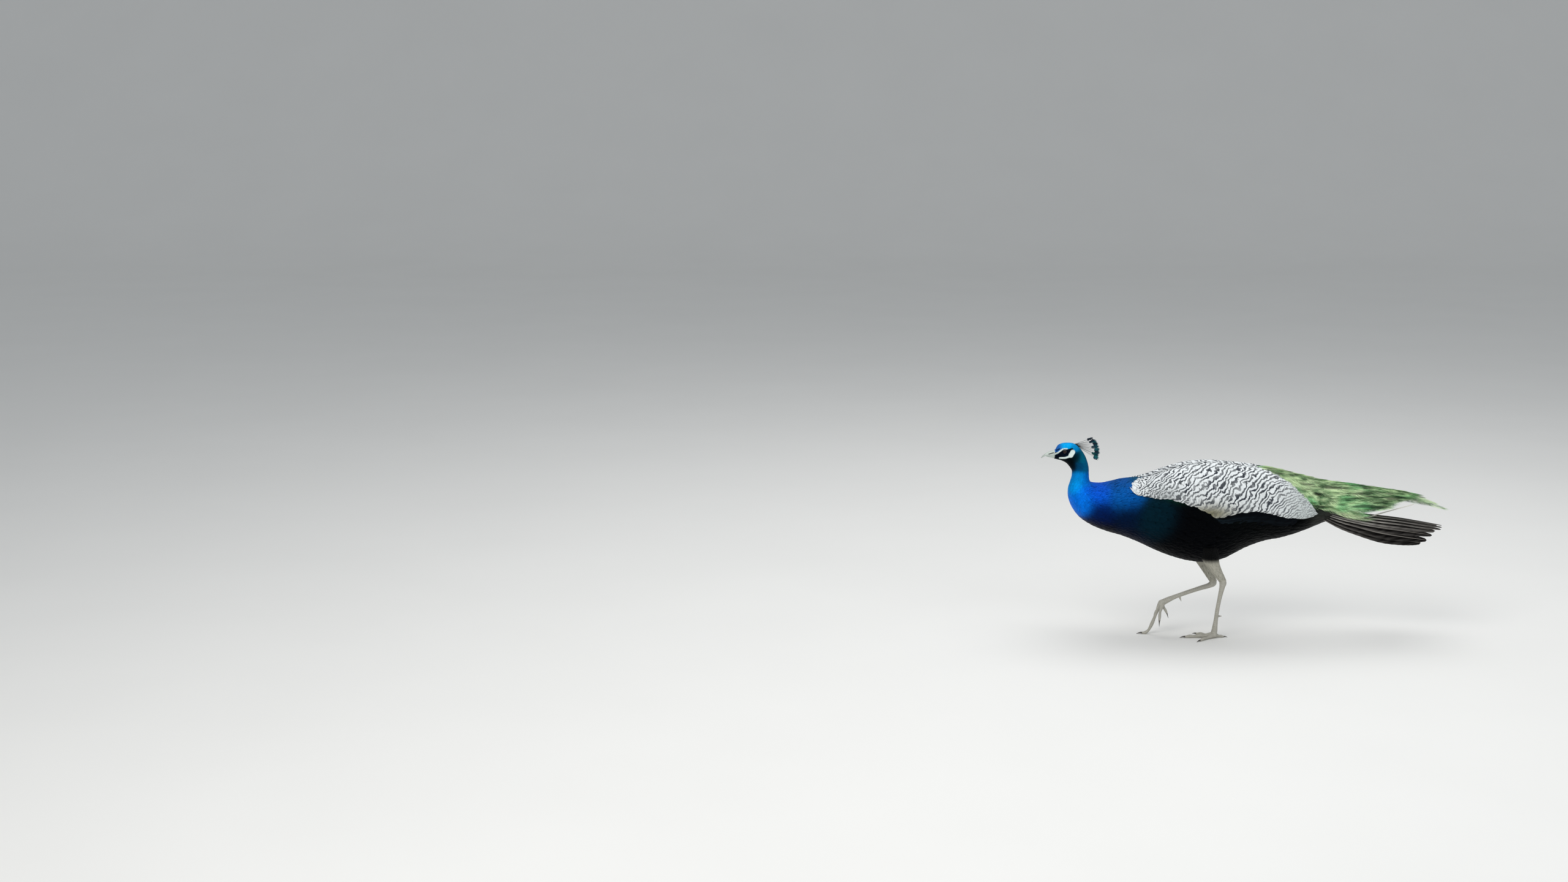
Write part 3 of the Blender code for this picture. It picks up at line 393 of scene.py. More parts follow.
def wing_edges(x):
    """Upper and lower edge of the wing at x, in degrees from the back line."""
    edges = smooth_through(WING_OUTLINE[:, 0], WING_OUTLINE[:, 1:], np.ravel(x))
    return edges[:, 0].reshape(np.shape(x)), edges[:, 1].reshape(np.shape(x))


def hill(share):
    """A parabola from 0 over 1 to 0, as the share runs from 0 to 1."""
    return np.clip(4 * share * (1 - share), 0, 1)


def wing_points(x, share):
    """Points on the right wing's plumage: share runs from 0 at its top to 1 at its lower edge.

    Over the back the plumage closes up to the back line. The wing stands over the body, thickest in
    its middle, by a power of a parabola each way between its own edges.
    """
    x, share = np.broadcast_arrays(x, share)
    upper, lower = wing_edges(x)
    closed = ease(x, -0.292, -0.262) * (1 - ease(x, 0.0, 0.075))
    top = upper - (upper - 1.0) * closed
    angle = top + (lower - top) * share
    across = (angle - upper) / (lower - upper)
    length_share = (x - WING_OUTLINE[0, 0]) / (WING_OUTLINE[-1, 0] - WING_OUTLINE[0, 0])
    parabola = hill(across) * hill(length_share)
    distance = along_x(x)
    swell = 0.0008 + (WING_THICKNESS - 0.0012) * parabola ** 0.42 * (0.3 + 0.7 * ease(x, -0.300, -0.215))
    angle = np.radians(angle)
    return body_points(distance, angle) + BODY_SURFACE.normals(distance, angle) * swell[..., None]


WING_SURFACE = Surface(wing_points)


def vault_points(table, roundness, x, across):
    """Points on a vault of feathers: an arc across, by the sine and the cosine of an angle that
    grows with the share of the half width.
    """
    x, across = np.broadcast_arrays(x, across)
    shape = smooth_through(table[:, 0], table[:, 1:], x.ravel()).reshape(*x.shape, 3)
    ridge, width, drop = shape[..., 0], shape[..., 1], shape[..., 2]
    bend = math.radians(roundness)
    sideways = np.sin(across * bend) / math.sin(bend)
    downward = (1 - np.cos(across * bend)) / (1 - math.cos(bend))
    return np.stack([x, width * sideways, ridge - drop * downward], axis=-1)


def train_points(x, across):
    """Points on the train: on the body between the wings' upper edges, then on the train's vault.

    The two are blended over the tail root.
    """
    x, across = np.broadcast_arrays(x, across)
    reach = np.interp(x, (-0.10, 0.02, 0.07, 0.118, 0.150, 0.174, 0.2), (12, 20, 34, 56, 78, 94, 96))
    on_body = body_points(along_x(x), np.radians(reach) * across)
    on_vault = vault_points(TRAIN, TRAIN_ROUNDNESS, x, across)
    return mixed(on_body, on_vault, ease(x, 0.165, 0.225)[..., None])


def tail_points(x, across):
    """Points on the tail's vault."""
    return vault_points(TAIL, TAIL_ROUNDNESS, x, across)


TRAIN_SURFACE = Surface(train_points)
TAIL_SURFACE = Surface(tail_points)


def round_path(centre, sideways, step):
    """Surface round a path: u is metres along it, and v the angle from its rear.

    Centre gives its points and radii at u, and its way ahead is measured over a step either way.
    It bends in the plane across the sideways direction, and may lean out of it.
    """
    def points(u, v):
        u, v = np.broadcast_arrays(u, v)
        flat_u, flat_v = u.ravel(), v.ravel()
        middle, radius = centre(flat_u)
        ahead = centre(flat_u + step)[0] - centre(flat_u - step)[0]
        ahead = unit(ahead - sideways * (ahead @ sideways)[:, None])
        rearward = np.cross(ahead, sideways)
        ring = sideways * np.sin(flat_v)[:, None] + rearward * np.cos(flat_v)[:, None]
        return (middle + radius[:, None] * ring).reshape(*u.shape, 3)

    return Surface(points)


def limb_surface(rows, side, offsets):
    """Surface of a rounded limb, and its length.

    Its centre line and radii run smoothly through (x, z, radius) rows, leaning inwards from one
    offset to the other.
    """
    at = path_length(rows[:, :2])

    def centre(u):
        fine = smooth_through(at, rows, u)
        lean = offsets[0] + (offsets[1] - offsets[0]) * u / at[-1]
        return np.stack([fine[:, 0], side * lean, fine[:, 1]], axis=1), fine[:, 2]

    return round_path(centre, np.array([0.0, 1.0, 0.0]), 1e-3), at[-1]


def path_surface(points, radii, turn):
    """Surface round a path in the upright plane turned sideways by an angle, and its length."""
    at = path_length(points)
    sideways = np.array([math.sin(turn), math.cos(turn), 0.0])

    def centre(u):
        return smooth_through(at, points, u), np.interp(u, at, radii)

    return round_path(centre, sideways, 5e-4), at[-1]


def limb_grid(length, rings, sides):
    """Places (u, v) on a limb: rings evenly along it, and sides evenly round it."""
    return np.meshgrid(np.linspace(0, length, rings), circle(sides), indexing="ij")


# Shells and pieces

def linked(name, data):
    """A new object for a mesh, a lamp or a camera, in the scene."""
    made = bpy.data.objects.new(name, data)
    bpy.context.scene.collection.objects.link(made)
    return made


class Shells:
    """Closed shells that become one piece: points, faces, marks, and places on the baking map.

    A point's marks are its place on its vane (share along, share across, and a random number of
    the vane) and its colour, with a fourth number for the phase of the bars or the paleness.
    """

    def __init__(self):
        self.points, self.faces, self.map, self.place, self.colour = [], [], [], [], []
        self.count = 0

    def add(self, points, faces, place, colour, baking_map=None):
        """Adds points (n, 3), and faces as arrays of point numbers, all of one length each. Only
        the coat's pieces have places (n, 2) on a baking map.
        """
        n = len(points)
        self.points.append(points)
        self.faces += [array + self.count for array in faces]
        if baking_map is not None:
            self.map.append(baking_map)
        self.place.append(np.broadcast_to(place, (n, 3)))
        self.colour.append(np.broadcast_to(colour, (n, 4)))
        self.count += n

    def piece(self, name, finish, nodes=(), mirrored=False):
        """Makes the piece: it rides on the root and stands for the nodes. Mirrored turns it over
        the middle plane.
        """
        points = np.concatenate(self.points)
        faces = self.faces
        if mirrored:
            points = points * (1, -1, 1)
            faces = [array[:, ::-1] for array in faces]
        corners = np.concatenate([array.ravel() for array in faces])
        sizes = np.concatenate([np.full(len(array), array.shape[1]) for array in faces])
        mesh = bpy.data.meshes.new(name)
        mesh.vertices.add(len(points))
        mesh.vertices.foreach_set("co", points.ravel())
        mesh.loops.add(len(corners))
        mesh.loops.foreach_set("vertex_index", corners)
        mesh.polygons.add(len(sizes))
        mesh.polygons.foreach_set("loop_start", np.concatenate([[0], np.cumsum(sizes)[:-1]]))
        mesh.update(calc_edges=True)
        mesh.shade_smooth()
        mesh.set_sharp_from_angle(angle=SHARP_BEND)
        if self.map:
            uv = mesh.uv_layers.new(name="OFBake")
            uv.data.foreach_set("uv", np.concatenate(self.map)[corners].ravel())
        place = mesh.attributes.new("place", "FLOAT_VECTOR", "POINT")
        place.data.foreach_set("vector", np.concatenate(self.place).ravel())
        colour = mesh.attributes.new("plumage", "FLOAT_COLOR", "POINT")
        colour.data.foreach_set("color", np.concatenate(self.colour).ravel())
        mesh.materials.append(finish)
        made = linked(name, mesh)
        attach(made, "root")
        if nodes:
            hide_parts(*nodes)


def grid_faces(rows, columns, closed, rows_closed=False):
    """Quads between the points of a grid, with its columns or its rows closed to a ring or not."""
    i = np.arange(rows if rows_closed else rows - 1)[:, None] * columns
    after = (i + columns) % (rows * columns)
    j = np.arange(columns if closed else columns - 1)[None, :]
    k = (j + 1) % columns
    return np.stack([i + j, after + j, after + k, i + k], axis=-1).reshape(-1, 4)


def facing_out(points, faces):
    """The faces of one closed shell, turned over if they enclose a negative volume."""
    total = 0.0
    for array in faces:
        for c in range(1, array.shape[1] - 1):
            a, b, d = (points[array[:, i]] - points[0] for i in (0, c, c + 1))
            total += dot(np.cross(a, b), d).sum()
    return faces if total > 0 else [array[:, ::-1] for array in faces]


def closed_tube(rings):
    """Points and faces over a row of rings (rows, sides, 3), each end closed to its own middle."""
    rows, sides = rings.shape[:2]
    points = np.concatenate([rings.reshape(-1, 3), rings[0].mean(axis=0)[None], rings[-1].mean(axis=0)[None]])
    return points, tube_faces(rows, sides)


def tube_faces(rows, sides):
    """Quads over a row of rings, and triangles from each end's ring to the point that closes it."""
    j = np.arange(sides)
    k = (j + 1) % sides
    last = (rows - 1) * sides
    return [grid_faces(rows, sides, True), np.stack([np.full(sides, rows * sides), j, k], axis=1),
            np.stack([np.full(sides, rows * sides + 1), last + k, last + j], axis=1)]


class Leaf:
    """Template of one vane: a closed flat leaf, as shares along and across, with a face side.

    Its cross section has the given columns over its top and one point below. Its outline at the
    share s along is sin(pi s ** fullness) ** roundness of the half width, and every other ring is
    narrower by the fringe.
    """

    def __init__(self, rings, columns, fullness=0.75, roundness=0.6, fringe=0.0):
        s = 0.5 - 0.5 * np.cos(np.linspace(0.12, 0.93, rings) * math.pi)
        t = np.append(np.linspace(-1, 1, columns), 0.0)
        side = np.append(np.ones(columns), -1.0)
        side[[0, columns - 1]] = 0.0
        ring = columns + 1
        self.s = np.concatenate([np.repeat(s, ring), [0.0, 1.0]])
        self.t = np.concatenate([np.tile(t, rings), [0.0, 0.0]])
        self.side = np.concatenate([np.tile(side, rings), [0.0, 0.0]])
        self.outline = np.sin(math.pi * np.clip(self.s, 0, 1) ** fullness) ** roundness
        jag = 1 - fringe * (np.arange(rings) % 2)
        self.outline[:rings * ring] *= np.repeat(jag, ring)
        self.faces = facing_out(np.stack([self.s, self.t * self.outline, self.side], axis=1),
                                tube_faces(rings, ring))


def add_vanes(shells, template, points, place, colour_of, phase, roots, across, patch):
    """Adds vanes of one template, given as points (vanes, points of each, 3), with their marks.

    The place is (share along, share across, the vane's number). On the baking map a vane is a patch
    about its root's place, by its shares along and across.
    """
    count, size = points.shape[:2]
    flat = points.reshape(-1, 3)
    starts = (np.arange(count) * size)[:, None, None]
    faces = [(array[None] + starts).reshape(-1, array.shape[1]) for array in template.faces]
    local = np.stack(np.broadcast_arrays(place[0] - 0.5, across), axis=-1) * patch
    phases = np.broadcast_to(phase, (count, size)).reshape(-1, 1)
    shells.add(flat, faces, np.stack(np.broadcast_arrays(*place), axis=-1).reshape(-1, 3),
               np.concatenate([colour_of(flat), phases], axis=1), (roots[:, None] + local).reshape(-1, 2))


def lay_leaves(shells, surface, leaf, u, v, length, half_width, turn, heights, camber, colour_of,
               map_of, patch=0.003, thickness=0.00025, bars=None):
    """Lays one leaf for each root (u, v) and adds them to the shells.

    Heights are those of the root and the tip over the surface: between them the height goes by the
    power 0.8 of the share along. Camber lifts the middle over the edges, as a share of the half
    width, and falls away across by a square. Bars gives the phase of the bars, or the paleness.
    """
    s, t = leaf.s[None], leaf.t[None]
    random = RANDOM.random(len(u))
    low, high = (np.broadcast_to(value, u.shape)[:, None] for value in heights)
    arch = camber * half_width[:, None] * (1 - t ** 2) * np.sqrt(leaf.outline)[None]
    under = np.where(leaf.side < 0, 0.3, 0.0)[None]
    height = low + (high - low) * s ** 0.8 + arch * (1 - under) + leaf.side[None] * thickness
    points = surface.lay(u, v, turn, length[:, None] * s, half_width[:, None] * t * leaf.outline, height)
    phase = 0.0 if bars is None else bars(s, t)
    add_vanes(shells, leaf, points, (s, t, random[:, None]), colour_of, phase, map_of(u, v),
              t * leaf.outline * 0.5, patch)


def body_map(distance, angle):
    """Place on the unwrap of the skin: along the body, and round it from belly to belly."""
    around = angle / (2 * math.pi) + 0.5
    return np.stack([0.02 + 0.96 * distance / BODY_LENGTH, 0.02 + 0.96 * around], axis=-1)


# Colours of the plumage

def drawn(x, z, marks):
    """How much of any of the marks lies at a place: the most, over the lines (x, z), of a strength
    within the line's half width and 0 outside it, with a soft edge.
    """
    most = np.zeros(np.shape(x))
    for line, half_width, soft, strength in marks:
        nearest = np.full(np.shape(x), np.inf)
        for (x0, z0), (x1, z1) in zip(line, line[1:]):
            dx, dz = x1 - x0, z1 - z0
            t = np.clip(((x - x0) * dx + (z - z0) * dz) / (dx * dx + dz * dz), 0, 1)
            nearest = np.minimum(nearest, np.hypot(x - x0 - dx * t, z - z0 - dz * t))
        most = np.maximum(most, (1 - ease(nearest, half_width - soft, half_width + soft)) * strength)
    return most


def bare_face(points):
    """Where the bare white skin is: a stripe over the eye, a spot behind it, and a cheek patch
    that rises behind the eye.
    """
    x = points[..., 0]
    return drawn(x, points[..., 2], BARE_FACE) * ((np.abs(points[..., 1]) > 0.004) & (x < -0.43))


def plumage(points):
    """Colour of the plumage at a point: the zones' colours, each weighed by the exponential of
    minus the squared share of its radius that the point is away. The face's marks go on top.
    """
    x, z = points[..., 0], points[..., 2]
    total = np.zeros(points.shape[:-1] + (3,))
    weights = np.zeros(points.shape[:-1])
    for (x0, z0), radius, colour in ZONES.values():
        weight = np.exp(-ZONE_FALL * ((x - x0) ** 2 + (z - z0) ** 2) / radius ** 2) + 1e-9
        total += weight[..., None] * linear(colour)
        weights += weight
    blended = total / weights[..., None]
    blended = mixed(blended, linear((14, 22, 34)), drawn(x, z, EYE_STRIPE)[..., None])
    return mixed(blended, linear((240, 253, 248)), bare_face(points)[..., None])


# Finishes

class Value:
    """A number in a shader that Python's operators work on: each adds a Math node."""

    def __init__(self, finish, socket):
        self.finish, self.socket = finish, socket

    def maths(self, operation, *others):
        """Result of a Math node on this value and others, which are values or plain numbers."""
        values = {i: value for i, value in enumerate((self,) + others)}
        node = self.finish.node("ShaderNodeMath", {"operation": operation}, values)
        return Value(self.finish, node.outputs[0])

    def __add__(self, other):
        return self.maths("ADD", other)

    def __mul__(self, other):
        return self.maths("MULTIPLY", other)

    def __sub__(self, other):
        return self.maths("SUBTRACT", other)

    def __rsub__(self, other):
        return (self * -1.0) + other

    __radd__, __rmul__ = __add__, __mul__

    def size(self):
        """Its size, without its sign."""
        return self.maths("ABSOLUTE")

    def wave(self):
        """Its sine."""
        return self.maths("SINE")

    def ripple(self):
        """Its sine, brought between 0 and 1."""
        return self.wave() * 0.5 + 0.5

    def step(self, low, high):
        """0 below low and 1 above high, smooth between."""
        node = self.finish.node("ShaderNodeMapRange", {"interpolation_type": "SMOOTHSTEP"},
                                {"Value": self, "From Min": low, "From Max": high})
        return Value(self.finish, node.outputs["Result"])


class Finish:
    """A material: its Principled shader, and the nodes that feed it."""

    def __init__(self, name, **uniform):
        self.material = bpy.data.materials.new(name)
        self.material.use_nodes = True
        self.tree = self.material.node_tree
        self.shader = self.tree.nodes["Principled BSDF"]
        for socket, value in uniform.items():
            self.shader.inputs[socket.replace("_", " ")].default_value = value

    def node(self, kind, settings=None, sockets=None):
        """A node with its settings made and its sockets filled, by a link or a plain value."""
        node = self.tree.nodes.new(kind)
        for name, value in (settings or {}).items():
            if name == "stops":
                self.set_stops(node.color_ramp, value)
            else:
                setattr(node, name, value)
        for name, value in (sockets or {}).items():
            self.feed(node.inputs[name], value)
        return node

    def feed(self, socket, value):
        """Links or sets one socket."""
        if isinstance(value, Value):
            self.tree.links.new(value.socket, socket)
        elif isinstance(value, bpy.types.NodeSocket):
            self.tree.links.new(value, socket)
        else:
            socket.default_value = value

    @staticmethod
    def set_stops(ramp, stops):
        """Gives a ramp its (place, colour) stops."""
        while len(ramp.elements) < len(stops):
            ramp.elements.new(1.0)
        for element, (place, colour) in zip(ramp.elements, stops):
            element.position = place
            element.color = (*colour, 1.0)

    def place(self):
        """Shares along and across the vane, and the vane's random number."""
        attribute = self.node("ShaderNodeAttribute", {"attribute_name": "place"})
        parts = self.node("ShaderNodeSeparateXYZ", sockets={"Vector": attribute.outputs["Vector"]})
        return [Value(self, parts.outputs[i]) for i in range(3)]

    def plumage(self):
        """Colour written on the points, and the phase of the bars beside it."""
        attribute = self.node("ShaderNodeAttribute", {"attribute_name": "plumage"})
        return attribute.outputs["Color"], Value(self, attribute.outputs["Alpha"])

    def along_body(self):
        """Metres along the bird: less towards the head, and more towards the tail."""
        where = self.node("ShaderNodeTexCoord")
        parts = self.node("ShaderNodeSeparateXYZ", sockets={"Vector": where.outputs["Object"]})
        return Value(self, parts.outputs[0])

    def red_of(self, colour):
        """The red of a colour."""
        parts = self.node("ShaderNodeSeparateColor", sockets={"Color": colour})
        return Value(self, parts.outputs[0])

    def noise(self, scale, detail=2.0, stretch=(1, 1, 1)):
        """Noise on object coordinates, in waves of about one metre over scale."""
        where = self.node("ShaderNodeTexCoord")
        placed = self.node("ShaderNodeMapping", sockets={"Vector": where.outputs["Object"], "Scale": stretch})
        node = self.node("ShaderNodeTexNoise", sockets={"Vector": placed.outputs[0], "Scale": scale,
                                                        "Detail": detail})
        return Value(self, node.outputs["Fac"])

    def mix(self, share, first, second, blend="MIX"):
        """Colour between two, or blended."""
        node = self.node("ShaderNodeMix", {"data_type": "RGBA", "blend_type": blend})
        self.feed(node.inputs[0], share)
        self.feed(node.inputs[6], first)
        self.feed(node.inputs[7], second)
        return node.outputs[2]

    def shade(self, colour, amount):
        """A colour times a value."""
        grey = self.node("ShaderNodeCombineColor", sockets={0: amount, 1: amount, 2: amount})
        return self.mix(1.0, colour, grey.outputs[0], "MULTIPLY")

    def bump(self, height, strength, distance):
        """Feeds the normal from a height."""
        node = self.node("ShaderNodeBump", sockets={"Height": height, "Strength": strength,
                                                    "Distance": distance})
        self.feed(self.shader.inputs["Normal"], node.outputs[0])

    def finish(self, colour, roughness=None, metallic=None):
        """Feeds the shader's colour, and its roughness and metallic value where they change."""
        self.feed(self.shader.inputs["Base Color"], colour)
        if roughness is not None:
            self.feed(self.shader.inputs["Roughness"], roughness)
        if metallic is not None:
            self.feed(self.shader.inputs["Metallic"], metallic)
        return self.material


def rgb(colour):
    """A colour of 255 as a shader's colour."""
    return (*linear(colour), 1.0)


def plumage_finish():
    """Glossy contour feathers: the plumage's colour, darker between fine barbs and darker at the root,
    which is painted shade under the feather that lies over it, in patches that lean to green. The bare
    skin's white is finely grained instead.
    """
    made = Finish("contour feathers", Specular_IOR_Level=0.04)
    s, t, random = made.place()
    colour, _ = made.plumage()
    barbs = (s * 75.0 - t.size() * 22.0 + random * 20.0).ripple()
    bare = made.red_of(colour).step(0.20, 0.60)
    grain = made.noise(750.0, 3.0, (0.6, 1.0, 1.0)).step(0.30, 0.70) * bare
    # painted shade: each feather darker towards its root, under the one that lies over it; random tone and
    # barb lines besides
    light = (s * 0.24 + 0.76) * (random * 0.26 + 0.86) * (barbs * 0.16 + 0.92)
    light = light * (grain * 0.14 + 1.0 - bare * 0.07)
    lit = made.shade(colour, light)
    lean = made.noise(38.0) * 0.45 * (1.0 - bare)
    greener = made.mix(lean, lit, made.mix(1.0, lit, rgb((96, 255, 226)), "MULTIPLY"))
    made.bump(barbs + grain * 1.6, 0.30, 0.0003)
    return made.finish(greener, 0.60 - s * 0.16, 0.35)


def barred_finish():
    """Pale wing feathers with wavy dark bars, whose phase is written on the points."""
    made = Finish("barred wing feathers", Roughness=0.72, Specular_IOR_Level=0.25)
    s, t, random = made.place()
    ground, phase = made.plumage()
    wobble = made.noise(52.0, 1.0) * 2.30 + made.noise(24.0, 1.0) * 1.20 + made.noise(150.0) * 0.25
    scallop = (t * 4.3 + math.pi / 2).wave() * -0.05
    wave = ((phase + wobble + scallop) * (2 * math.pi)).wave()
    bar = (wave + made.noise(90.0) * 0.9 - 0.45).step(-0.30, 0.65)
    ink = made.mix(made.noise(26.0).step(0.36, 0.62), rgb((34, 40, 52)), rgb((88, 92, 94)))
    x = made.along_body()
    contrast = (made.red_of(ground).step(0.22, 0.66) * 0.60 + 0.34) * (1.0 - x.step(0.05, 0.15) * 0.42)
    contrast = contrast * (x.step(-0.303, -0.275) * 0.75 + 0.25)
    contrast = contrast * (made.noise(55.0).step(0.30, 0.56) * 0.35 + 0.70)
    colour = made.mix(bar * contrast, ground, ink)
    barbs = (s * 110.0 + t.size() * 20.0).ripple()
    # painted shade: each feather darker towards its root, under the one that lies over it
    light = (s * 0.20 + 0.84) * (random * 0.10 + 0.94) * (barbs * 0.10 + 0.95)
    made.bump(barbs + wave * -0.8, 0.30, 0.0004)
    return made.finish(made.shade(colour, light))


def vane_finish(name, dark, pale, shaft, band, roughness, frayed):
    """Long stiff vanes: slanting barbs in clumps, a pale shaft that fades towards the tip, and
    edges that are paler by the band, most near the root.
    """
    made = Finish(name, Specular_IOR_Level=0.04)
    s, t, random = made.place()
    _, paleness = made.plumage()
    barbs = (s * 420.0 + t.size() * 46.0 + made.noise(60.0) * 9.0).ripple()
    clump = (s * 60.0 + t.size() * 7.0 + made.noise(25.0) * 12.0).ripple()
    rootward = 1.0 - s.step(0.10, 0.75)
    edge = t.size().step(0.42, 0.95) * (rootward + 0.12) * band * paleness
    edge = edge * (made.noise(45.0) * 1.2 + 0.3)
    web = made.mix(edge + clump * (t.size() * frayed) * 0.4, rgb(dark), rgb(pale))
    rib = (1.0 - t.size().step(0.04, 0.11)) * (rootward * 0.7 + 0.22)
    colour = made.mix(rib, made.shade(web, barbs * 0.35 + 0.75 + random * 0.15), rgb(shaft))
    made.bump(barbs * 0.5 + rib, 0.4, 0.0006)
    return made.finish(colour, 0.05 * random + roughness)


def plume_finish(name, deep, mid, light, cast, shaft, metallic=0.15):
    """Loose plumes: colours from deep to light by the plume and along its barbs, streaked, and in places with
    another cast. Long darker streaks are painted shade between the plumes.
    """
    made = Finish(name, Roughness=0.5, Specular_IOR_Level=0.25)
    s, t, random = made.place()
    streaks = made.noise(150.0, 4.0, (0.16, 1.0, 1.0))
    x = made.along_body()
    front = (1.0 - x.step(0.02, 0.16)) * 0.34 * x.step(-0.1, 0.0)
    tone = random * 0.80 + streaks * 1.90 + t.size() * 0.20 + s * 0.12 + front - 0.93
    ramp = made.node("ShaderNodeValToRGB", {"stops": [(0.05, linear(deep)), (0.45, linear(mid)),
                                                      (0.90, linear(light))]}, {"Fac": tone})
    cast_share = made.noise(22.0, 2.0, (0.4, 1.0, 1.0)).step(0.48, 0.66) * 0.65
    tinted = made.mix(cast_share, ramp.outputs[0], made.mix(1.0, ramp.outputs[0], rgb(cast), "MULTIPLY"))
    rib = 1.0 - t.size().step(0.02, 0.05)
    made.bump((s * 300.0).wave(), 0.15, 0.0004)
    # painted shade: long darker streaks for the shade between the plumes
    gap_shade = made.noise(85.0, 3.0, (0.14, 1.0, 1.0)).step(0.38, 0.50) * 0.66 + 0.34
    return made.finish(made.shade(made.mix(rib * 0.7, tinted, rgb(shaft)), gap_shade), None, metallic)


def down_finish():
    """Soft leg down: grey-buff, paler at the tips."""
    made = Finish("leg down", Roughness=0.85, Specular_IOR_Level=0.06, Sheen_Weight=0.06, Sheen_Roughness=0.5)
    s, t, random = made.place()
    ground, _ = made.plumage()
    barbs = (s * 60.0 + t.size() * 12.0 + random * 9.0).ripple()
    made.bump(barbs, 0.3, 0.0003)
    return made.finish(made.shade(ground, (s.step(0.1, 1.0) * 0.30 + 0.80) * (random * 0.20 + 0.90)))


def scale_finish():
    """Leg scales: grey horn plates, darker and browner in the furrows between them."""
    made = Finish("leg scales", Specular_IOR_Level=0.4, Coat_Weight=0.08, Coat_Roughness=0.3)
    _, relief, _ = made.place()
    grime = made.noise(160.0, 4.0)
    plate = made.mix(grime, rgb((150, 146, 134)), rgb((186, 184, 174)))
    colour = made.mix(relief.step(0.0, 0.40), rgb((128, 123, 112)), plate)
    made.bump(made.noise(900.0, 3.0) * 0.6 + made.noise(2600.0) * 0.4, 0.35, 0.0002)
    return made.finish(colour, grime * 0.25 + 0.42)


def horn_finish(name, pale, dark):
    """Horn: pale to dark towards the places marked so, with fine growth lines along it."""
    made = Finish(name, Specular_IOR_Level=0.5, Coat_Weight=0.15, Coat_Roughness=0.25)
    _, shade, _ = made.place()
    lines = made.noise(500.0, 3.0, (0.2, 1.0, 1.0))
    colour = made.mix(shade, made.mix(lines, rgb(pale), rgb([c * 0.86 for c in pale])), rgb(dark))
    made.bump(lines, 0.2, 0.0002)
    return made.finish(colour, lines * 0.2 + 0.25)


def eye_finish():
    """Wet eye: black pupil, dark brown iris with fine rays, and a dark rim."""
    made = Finish("wet eye", Roughness=0.08, Specular_IOR_Level=0.12, Coat_Weight=0.22, Coat_Roughness=0.02)
    polar, around, _ = made.place()
    rays = (around * 300.0 + made.noise(900.0) * 9.0).ripple()
    iris = made.mix(rays, rgb((44, 25, 14)), rgb((76, 46, 25)))
    ring = made.mix(polar.step(0.58, 0.76), iris, rgb((12, 9, 8)))
    colour = made.mix(polar.step(0.34, 0.38), rgb((2, 2, 3)), ring)
    return made.finish(colour)


def lid_finish():
    """Eyelids: slate skin in fine folds, paler on the rim."""
    made = Finish("eyelids", Roughness=0.5, Specular_IOR_Level=0.4, Coat_Weight=0.2, Coat_Roughness=0.2)
    s, _, _ = made.place()
    folds = (s * 26.0 + made.noise(300.0) * 3.0).ripple()
    colour = made.mix(s.step(0.04, 0.30), rgb((62, 70, 76)), rgb((14, 18, 26)))
    made.bump(folds + made.noise(1500.0), 0.5, 0.0002)
    return made.finish(made.shade(colour, folds * 0.3 + 0.8))


def floor_finish():
    """Plain pale studio floor."""
    made = Finish("studio floor", Roughness=0.85, Specular_IOR_Level=0.2)
    colour = made.mix(made.noise(2.0), rgb((240, 239, 236)), rgb((236, 235, 232)))
    return made.finish(colour)


# Skin and contour feathers

def head_relief(points):
    """How far the head's skin stands out of its sweep, in metres: a brow ridge and full cheeks, and
    hollows in front of the eye and for the eyeball. Each is a bell of (x, z).
    """
    x, z = points[..., 0], points[..., 2]
    bells = [(-0.4690, 0.5060, 0.0090, 0.0022, 0.0006), (-0.4580, 0.4870, 0.0090, 0.0060, 0.0007),
             (-0.4860, 0.4915, 0.0050, 0.0035, -0.0007),
             (EYE_CENTRE[0], EYE_CENTRE[2], 0.0048, 0.0044, -0.0055)]
    relief = sum(height * np.exp(-((x - x0) / reach_x) ** 2 - ((z - z0) / reach_z) ** 2)
                 for x0, z0, reach_x, reach_z, height in bells)
    return relief * ease(np.abs(points[..., 1]), 0.004, 0.010) * (x < -0.44)


def mesh_object(name, points, faces):
    """A plain object over points and faces, for a Boolean."""
    mesh = bpy.data.meshes.new(name)
    mesh.from_pydata(points.tolist(), [], [face for array in faces for face in array.tolist()])
    return linked(name, mesh)


def united(first, others):
    """Points and triangles of the exact union of closed shells, given as (points, faces)."""
    whole = mesh_object("whole", *first)
    parts = [mesh_object("part", *other) for other in others]
    for part in parts:
        modifier = whole.modifiers.new("Union", "BOOLEAN")
        modifier.operation = "UNION"
        modifier.object = part
    bpy.context.view_layer.update()
    result = whole.evaluated_get(bpy.context.evaluated_depsgraph_get()).to_mesh()
    result.calc_loop_triangles()
    points = np.empty(len(result.vertices) * 3)
    result.vertices.foreach_get("co", points)
    triangles = np.empty(len(result.loop_triangles) * 3, dtype=int)
    result.loop_triangles.foreach_get("vertices", triangles)
    for made in [whole] + parts:
        bpy.data.objects.remove(made, do_unlink=True)
    return points.reshape(-1, 3), triangles.reshape(-1, 3)


